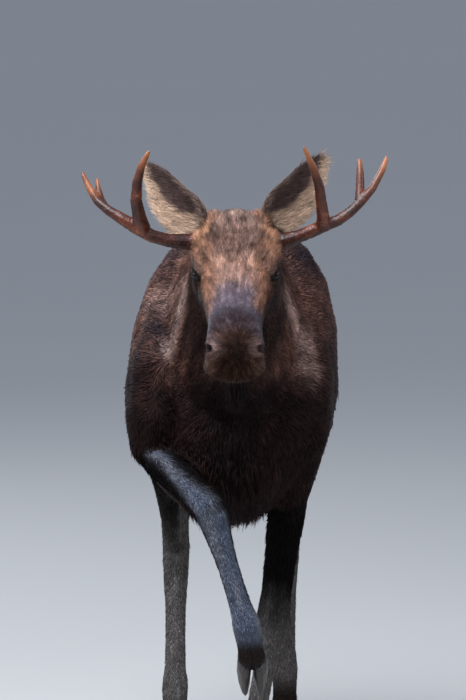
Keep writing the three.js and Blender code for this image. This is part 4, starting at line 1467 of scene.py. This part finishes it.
store(skin_mesh, "coat", with_alpha(COLOUR))
store(skin_mesh, "combed", COMBED)
skin = new_piece("skin", skin_mesh, hide, FLESH)
skin_mesh.uv_layers.new(name="OFBake")
bpy.context.view_layer.objects.active = skin
skin.select_set(True)
bpy.ops.object.mode_set(mode="EDIT")
bpy.ops.mesh.select_all(action="SELECT")
bpy.ops.uv.smart_project(angle_limit=math.radians(66), island_margin=0.001)
bpy.ops.object.mode_set(mode="OBJECT")
skin.select_set(False)
SPOTS = np.empty(len(skin_mesh.loops) * 2, np.float32)
skin_mesh.uv_layers["OFBake"].data.foreach_get("uv", SPOTS)
SPOTS = SPOTS.reshape(-1, 3, 2)
print("unwrap spans", SPOTS.min((0, 1)).round(3), "to", SPOTS.max((0, 1)).round(3))

# %% [markdown]
# ## The coat
# Real hair is far too fine to model one by one, and particle hair is lost when a model is exported, so
# small closed tufts stand for locks of some hundred hairs each. The long hair of neck and trunk is made
# of leaves: a root under the skin, three points round the middle and a tip. The short hair of head, ears
# and legs is made of spikes with three points at the root and a tip, which cost fewer triangles. Length,
# width and lift are known for each point of the skin, like the colour, and are smallest on face and feet.


# %% Where the hair changes
def by_area(**values):
    """One number per point from numbers per area, mixed by the soft shares."""
    total = np.zeros(len(POINTS))
    for name, value in values.items():
        share = LEG_AREA if name == "legs" else EAR_AREA if name == "ears" else AREA[name]
        total += share * value
    return total


reach_of_eye = np.full(len(POINTS), 1.0)
for side in EYES:
    reach_of_eye = np.minimum(reach_of_eye, on_the_ball(POINTS, side)[3])
inside_ear = np.zeros(len(POINTS))
for side in EARS:
    inside_ear += AREA[f"{side}_ear"] * ramp(0.0, 0.4, NORMALS @ ear_axes(side)[2])
up_leg = sum(up_the_leg(POINTS, leg) * AREA[leg] for leg in LEGS) / np.maximum(LEG_AREA, 1e-3)
fetlock = ramp(0.10, 0.03, up_leg) * LEG_AREA
throat_hair = ramp(-0.11, -0.19, HEIGHT)
crown_hair = ramp(-0.26, -0.15, ALONG) * ramp(-0.10, -0.06, HEIGHT)
muzzle_hair = ramp(-0.42, -0.54, ALONG)
behind = ramp(-0.10, 0.35, Y)  # the long flanks and the rump, where the tufts may be coarser
brisket = ramp(-0.15, -0.32, Y) * ramp(1.16, 1.10, Z) * ramp(0.17, 0.10, FROM_MIDLINE) * AREA["trunk"]
whorl_lift = 0.7 * np.exp(-((WHORL_REACH / 0.012) ** 2)) * AREA["head"]
print("points on the fetlocks:", int(fetlock.sum()), "and on the brisket:", int(brisket.sum()))

# %% Length, width, lift and density of the tufts
EYE_CLEAR = (0.0212, 0.0235)  # hair begins between these distances from the middle of an eye

head_length = 0.017 + 0.008 * throat_hair + 0.006 * crown_hair - (0.006 + 0.006 * throat_hair) * muzzle_hair
head_length *= (0.38 + 0.62 * ramp(0.032, 0.060, reach_of_eye)) * (0.5 + 0.5 * SURE)
LENGTH = by_area(
    head=head_length,
    ears=0.014 + 0.018 * inside_ear,
    neck=0.032,
    trunk=0.032 + 0.012 * behind,
    bell=0.060,
    tail=0.050,
    legs=np.interp(up_leg, (0, 0.5, 1), (0.013, 0.017, 0.034)) + 0.018 * fetlock,
)
LENGTH = LENGTH + 0.040 * CREST + 0.028 * brisket
WIDTH = by_area(
    head=0.0020 + 0.0008 * throat_hair + 0.0002 * crown_hair,
    ears=0.0019,
    neck=0.0028,
    bell=0.0034,
    tail=0.0045,
    trunk=0.0030 + 0.0030 * behind,
    legs=np.interp(up_leg, (0, 1), (0.0026, 0.0050)),
)
LIFT = by_area(
    head=0.17 + 0.12 * throat_hair + 0.12 * crown_hair,
    ears=0.16 + 0.10 * inside_ear,
    neck=0.14,
    trunk=0.13,
    bell=0.30,
    tail=0.26,
    legs=0.14 + 0.2 * fetlock,
)
LIFT = LIFT + 0.26 * CREST + 0.30 * brisket + whorl_lift
openings = np.clip(1.8 * NOSTRILS + 2.0 * LIP_LINE, 0, 1)
HAIRY = ramp(0.5, 0.2, BARE) * ramp(*EYE_CLEAR, reach_of_eye) * (1 - openings)
LENGTH *= 1 - 0.5 * soften(openings, EDGES, 3)
crowding = by_area(head=1.0, ears=1.0, neck=1.0, bell=1.0, tail=0.8, legs=1.0, trunk=1.6 - 1.1 * behind)
DENSITY = HAIRY * crowding
print("tufts from", round(float(LENGTH.min()), 4), "to", round(float(LENGTH.max()), 4), "m long")


# %% Roots spread evenly over the skin
def curve_order(places):
    """The order of places along a curve that visits near ones together."""
    share = (places - places.min(0)) / (places.max(0) - places.min(0) + 1e-9)
    cells = (share * 1023).astype(np.int64)
    code = np.zeros(len(places), np.int64)
    for bit in range(10):
        for axis in range(3):
            code |= ((cells[:, axis] >> bit) & 1) << (3 * bit + axis)
    return np.argsort(code, kind="stable")


TRIANGLES = read_triangles(skin_mesh)
CORNERS = POINTS[TRIANGLES]
SIZE = np.linalg.norm(np.cross(CORNERS[:, 1] - CORNERS[:, 0], CORNERS[:, 2] - CORNERS[:, 0]), axis=1) / 2
ORDER = curve_order(CORNERS.mean(1))


def spread_roots(mask, count, rng):
    """Triangles and the shares of their corners, for an even spread of roots over a masked area."""
    order = ORDER[mask[ORDER]]
    total = np.cumsum((SIZE * DENSITY[TRIANGLES].mean(1))[order])
    picks = (np.arange(count) + rng.random(count)) / count * total[-1]
    chosen = order[np.minimum(np.searchsorted(total, picks), len(order) - 1)]
    first, second = np.sqrt(rng.random(count)), rng.random(count)
    return chosen, np.stack((1 - first, first * (1 - second), first * second), 1)


print("skin:", round(float(SIZE.sum()), 2), "square metres")

# %% Shape and colours of a tuft
LEAF = np.array(((0, 1, 2), (0, 2, 3), (0, 3, 1), (4, 2, 1), (4, 3, 2), (4, 1, 3)))
SPIKE = np.array(((0, 2, 1), (3, 1, 2), (3, 2, 0), (3, 0, 1)))
LEAF_PATCH = ((0, -0.0015), (-0.0015, 0), (0, 0.0004), (0.0015, 0), (0, 0.0015))  # on the unwrap
SPIKE_PATCH = ((-0.0015, -0.001), (0.0015, -0.001), (0, 0), (0, 0.0015))
LEAF_SINK, SPIKE_SINK = 0.0016, 0.0009  # how far the root lies under the skin


def spikes(root, tip, normal, across, width, shade, end):
    """Points and colours of four-sided tufts, with painted shade darkening their roots."""
    low = root - normal * SPIKE_SINK
    points = (low - across * width * 0.5, low + across * width * 0.5, low + normal * width * 0.45, tip)
    return points, (shade * 0.62, shade * 0.62, shade * 0.75, end)


def leaves(root, middle, tip, normal, lie, across, ahead, width, shade, end):
    """Points and colours of six-sided tufts that are widest in the middle, with painted shade darkening
    their roots and sides.
    """
    low, half = root - normal * LEAF_SINK - lie * (0.04 * ahead), across * width * 0.5
    points = (low, middle - half, middle + normal * width * 0.38, middle + half, tip)
    return points, (shade * 0.42, shade * 0.90, shade, shade * 0.90, end)


print("a leaf has", len(LEAF), "sides and a spike", len(SPIKE))

# %% Tufts
# how much more red, green and blue the tips have than the roots: partly the tips' own redder, paler hair,
# and partly painted light on them
TIP_TINT = {
    "head": (1.22, 1.14, 1.06),
    "ears": (1.20, 1.16, 1.10),
    "neck": (1.42, 1.14, 1.00),
    "trunk": (1.42, 1.14, 1.00),
    "legs": (1.20, 1.18, 1.16),
}
THICKER, FEWER = ((1.0, 1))
GRIZZLED_SHARE, GRIZZLE = 0.3, 0.04  # of the mane's tips, and how much paler they are


def tuft_mesh(name, chosen, shares, tint, spiky, rng):
    """One mesh of closed tufts on the given roots: four-sided spikes for short hair, else leaves."""

    def at(field):
        return np.einsum("tc,tc...->t...", shares, field[TRIANGLES[chosen]])

    count = len(chosen)
    normal, lie, root = unit(at(NORMALS)), unit(at(LIE)), at(POINTS)
    across = unit(np.cross(normal, lie))
    swing = rng.normal(0, 0.15, count) + 0.26 * drift(root, 0.026, seed=71)
    lie = unit(lie * np.cos(swing)[:, None] + across * np.sin(swing)[:, None])
    across = unit(np.cross(normal, lie))
    growth = 1 + 0.15 * drift(root, 0.05, seed=72)
    length = at(LENGTH) * np.clip(rng.normal(1, 0.20, count), 0.5, 1.4) * growth
    width = (at(WIDTH) * rng.uniform(0.75, 1.2, count) * THICKER)[:, None]
    lift = np.clip(at(LIFT) * rng.normal(1, 0.35, count), 0.05, 1.2)
    ahead, rise = (length * np.cos(lift))[:, None], (length * np.sin(lift))[:, None]
    bend = (rng.normal(0, 0.07, count) * length)[:, None]
    tip = root + lie * ahead + normal * rise + across * bend
    shade = at(COLOUR) * np.exp(rng.normal(0, 0.28, count) + 0.16 * drift(root, 0.014, seed=73))[:, None]
    grizzled = (at(CREST) * (rng.random(count) < GRIZZLED_SHARE))[:, None]
    end = shade * np.array(tint) + grizzled * GRIZZLE
    if spiky:
        points, colours = spikes(root, tip, normal, across, width, shade, end)
        faces, patch = SPIKE, np.array(SPIKE_PATCH)
    else:
        middle = root + lie * 0.40 * ahead + normal * 0.60 * rise
        points, colours = leaves(root, middle, tip, normal, lie, across, ahead, width, shade, end)
        faces, patch = LEAF, np.array(LEAF_PATCH)
    points, colours = np.stack(points, 1), np.stack(colours, 1)
    faces = (faces[None] + points.shape[1] * np.arange(count)[:, None, None]).reshape(-1, 3)
    mesh = mesh_of(name, points.reshape(-1, 3), faces)
    store(mesh, "coat", with_alpha(np.clip(colours, 0, 1).reshape(-1, 3)))
    spot = np.einsum("tc,tcx->tx", shares, SPOTS[chosen].astype(float))
    unwrap = (spot[:, None] + patch).reshape(-1, 2)[faces.ravel()]
    layer = mesh.uv_layers.new(name="OFBake")
    layer.data.foreach_set("uv", np.clip(unwrap, 0, 1).astype(np.float32).ravel())
    return mesh


print("widths are multiplied by", THICKER, "and one tuft in", FEWER, "is grown")


# %% Grow the coat
LARGEST = 198_000  # triangles in one piece
# tufts, material slot, and whether they are spikes
GROWTH = {
    "head": (96_000, "face", True),
    "ears": (20_000, "ear", True),
    "neck": (42_000, "coat", False),
    "trunk": (86_000, "coat", False),
    "legs": (58_000, "leg", True),
}


def region_of(node):
    """The part of the coat that the skin over a CAD node belongs to."""
    if node == "head" or "eye" in node:
        return "head"
    if node.endswith("_ear"):
        return "ears"
    if is_leg(node) or "claw" in node:
        return "legs"
    return "neck" if node in ("neck", "bell") else "trunk"


def coat_finish():
    """Each tuft's own colour, with next to no gloss."""
    material, nodes = new_material("hair", 0.5, Specular_IOR_Level=0.03)
    dress(nodes, Base_Color=stored(nodes, "coat", "Color"))
    return material


region = np.array([region_of(node) for node in MELTED])[owner[TRIANGLES[:, 0]]]
hair = coat_finish()
for seed, (name, (count, slot, spiky)) in enumerate(GROWTH.items(), 100):
    rng = np.random.default_rng(seed)
    chosen, shares = spread_roots(region == name, count // FEWER, rng)
    step = LARGEST // len(SPIKE if spiky else LEAF)
    for part, start in enumerate(range(0, len(chosen), step), 1):
        some = slice(start, start + step)
        mesh = tuft_mesh(f"{name}_coat_{part}", chosen[some], shares[some], TIP_TINT[name], spiky, rng)
        new_piece(f"{name}_coat_{part}", mesh, hair)

# %% [markdown]
# ## Lashes and whiskers
# Long single hairs stand along the upper lids and thinly round the lips. One hair is a bent curve that
# tapers to its tip. Geometry Nodes put copies of it on the points of a lid, or scatter them over the
# lips with a fixed seed, and turn each one by directions that the points carry. Realize Instances then
# makes plain faces of them, because an export leaves instances out.

# %% One hair
HAIR_INPUTS = {"Length": 0.015, "Thickness": 0.0004, "Bend": 0.2, "Density": 0.0}
HAIR_TAPER = (0.5, 0.04)  # the radius at root and tip, as shares of the thickness


def one_hair(nodes, given):
    """A bent, tapering tube one unit long, from the tree's own inputs."""
    tip = add_node(nodes, "ShaderNodeCombineXYZ", X=given["Bend"], Z=1).outputs["Vector"]
    spine = add_node(
        nodes, "GeometryNodeCurveQuadraticBezier", Resolution=6, Start=(0, 0, 0), Middle=(0, 0, 0.6), End=tip
    )
    along = nodes.new("GeometryNodeSplineParameter").outputs["Factor"]
    taper = add_node(nodes, "ShaderNodeMapRange", Value=along, To_Min=HAIR_TAPER[0], To_Max=HAIR_TAPER[1])
    slender = math_node(nodes, "DIVIDE", given["Thickness"], given["Length"])
    radius = math_node(nodes, "MULTIPLY", taper.outputs["Result"], slender)
    ring = add_node(nodes, "GeometryNodeCurvePrimitiveCircle", Resolution=5, Radius=1)
    return add_node(
        nodes,
        "GeometryNodeCurveToMesh",
        Curve=spine.outputs["Curve"],
        Profile_Curve=ring.outputs["Curve"],
        Scale=radius,
        Fill_Caps=True,
    ).outputs["Mesh"]


print("inputs of a hair:", ", ".join(HAIR_INPUTS))


# %% Where hairs stand and how they turn
def scattered_points(nodes, given):
    """Points over the faces, as dense as the stored amount says."""
    amount = add_node(nodes, "GeometryNodeInputNamedAttribute", data_type="FLOAT", Name="amount")
    density = math_node(nodes, "MULTIPLY", amount.outputs["Attribute"], given["Density"])
    return add_node(
        nodes,
        "GeometryNodeDistributePointsOnFaces",
        Mesh=given["Geometry"],
        Density=density,
        Seed=given["Seed"],
    ).outputs["Points"]


def hair_turn(nodes):
    """The turn that stands a hair up along the stored way and bends it towards the stored curl."""
    way, curl = (
        add_node(nodes, "GeometryNodeInputNamedAttribute", data_type="FLOAT_VECTOR", Name=field)
        for field in ("way", "curl")
    )
    upright = add_node(nodes, "FunctionNodeAlignRotationToVector", axis="Z", Vector=way.outputs["Attribute"])
    return add_node(
        nodes,
        "FunctionNodeAlignRotationToVector",
        axis="X",
        pivot_axis="Z",
        Rotation=upright.outputs["Rotation"],
        Vector=curl.outputs["Attribute"],
    ).outputs["Rotation"]


# %% A tree that plants single hairs
SHORTEST, LONGEST = 0.65, 1.15  # the sizes of copies


def hair_tree(name, material, scattered):
    """Nodes that put a tapering hair on each point, or on points scattered over the faces."""
    tree = bpy.data.node_groups.new(name, "GeometryNodeTree")
    nodes = tree.nodes
    for flow in ("INPUT", "OUTPUT"):
        tree.interface.new_socket("Geometry", in_out=flow, socket_type="NodeSocketGeometry")
    for label in HAIR_INPUTS:
        tree.interface.new_socket(label, in_out="INPUT", socket_type="NodeSocketFloat")
    tree.interface.new_socket("Seed", in_out="INPUT", socket_type="NodeSocketInt")
    given = nodes.new("NodeGroupInput").outputs

    vary = add_node(nodes, "FunctionNodeRandomValue", data_type="FLOAT", Seed=given["Seed"])
    vary.inputs[2].default_value = SHORTEST  # the third and fourth inputs are the limits of a plain number
    vary.inputs[3].default_value = LONGEST
    copies = add_node(
        nodes,
        "GeometryNodeInstanceOnPoints",
        Points=scattered_points(nodes, given) if scattered else given["Geometry"],
        Instance=one_hair(nodes, given),
        Rotation=hair_turn(nodes),
        Scale=math_node(nodes, "MULTIPLY", vary.outputs[1], given["Length"]),
    )
    real = add_node(nodes, "GeometryNodeRealizeInstances", Geometry=copies.outputs["Instances"])
    finish = add_node(nodes, "GeometryNodeSetMaterial", Geometry=real.outputs["Geometry"], Material=material)
    add_node(nodes, "NodeGroupOutput", Geometry=finish.outputs["Geometry"])
    return tree


# %% Planting
def planted(mesh, tree, **wanted):
    """The plain mesh of hairs that the tree makes on a mesh of points or faces."""
    carrier = bpy.data.objects.new("carrier", mesh)
    bpy.context.scene.collection.objects.link(carrier)
    modifier = carrier.modifiers.new("hairs", "NODES")
    modifier.node_group = tree
    for socket in tree.interface.items_tree:
        if socket.in_out == "INPUT" and socket.name != "Geometry":
            modifier[socket.identifier] = wanted.get(socket.name, HAIR_INPUTS.get(socket.name, 1))
    seen = carrier.evaluated_get(bpy.context.evaluated_depsgraph_get())
    result = bpy.data.meshes.new_from_object(seen)
    carrier.modifiers.remove(modifier)
    bpy.data.objects.remove(carrier)
    return result


LASH_STOPS = ((0.35, (0.05, 0.035, 0.03)), (0.70, (0.14, 0.10, 0.085)))
lash_finish = mottled_material("lash", 0.45, 0.10, 120.0, 2.0, LASH_STOPS)
lash_tree = hair_tree("lashes", lash_finish, scattered=False)
print("the tree has", len(lash_tree.nodes), "nodes")

# %% Lashes
LASH_ENDS = (0.15, 2.9)  # radians round the almond, from its front corner over the upper lid

for side in EYES:
    line, out = lid_edge(side, share=1.04, steps=150)
    front, up, _, _ = on_the_ball(line, side)
    turn = np.arctan2(up, front)
    kept = (turn > LASH_ENDS[0]) & (turn < LASH_ENDS[1])
    ahead, above, _ = eye_axes(side)
    way = out[kept] + 0.30 * above + np.outer(0.55 * np.cos(turn[kept]), ahead)
    lid_line = mesh_of("lid_line", line[kept], np.empty((0, 3), int))
    store(lid_line, "way", unit(way))
    store(lid_line, "curl", np.tile(above, (kept.sum(), 1)))
    lashes = planted(lid_line, lash_tree, Length=0.015, Thickness=0.00055, Bend=0.30, Seed=5)
    new_piece(f"{side}_lashes", lashes, lash_finish)

# %% Whiskers
WHISKER_STOPS = ((0.35, (0.16, 0.12, 0.10)), (0.70, (0.42, 0.36, 0.32)))
whisker_finish = mottled_material("whisker", 0.45, 0.10, 120.0, 2.0, WHISKER_STOPS)
whisker_tree = hair_tree("whiskers", whisker_finish, scattered=True)
around_lips = ramp(-0.52, -0.60, ALONG) * ramp(-0.100, -0.150, HEIGHT) * HAIRY * AREA["head"]
on_lips = around_lips[TRIANGLES].min(1) > 0
used, faces = np.unique(TRIANGLES[on_lips], return_inverse=True)
lips = mesh_of("lips", POINTS[used], faces.reshape(-1, 3))
store(lips, "amount", around_lips[used])
store(lips, "way", unit(NORMALS + 0.9 * LIE)[used])
store(lips, "curl", LIE[used])
whiskers = planted(lips, whisker_tree, Length=0.024, Thickness=0.0004, Bend=0.25, Density=5200.0, Seed=9)
new_piece("whiskers", whiskers, whisker_finish)
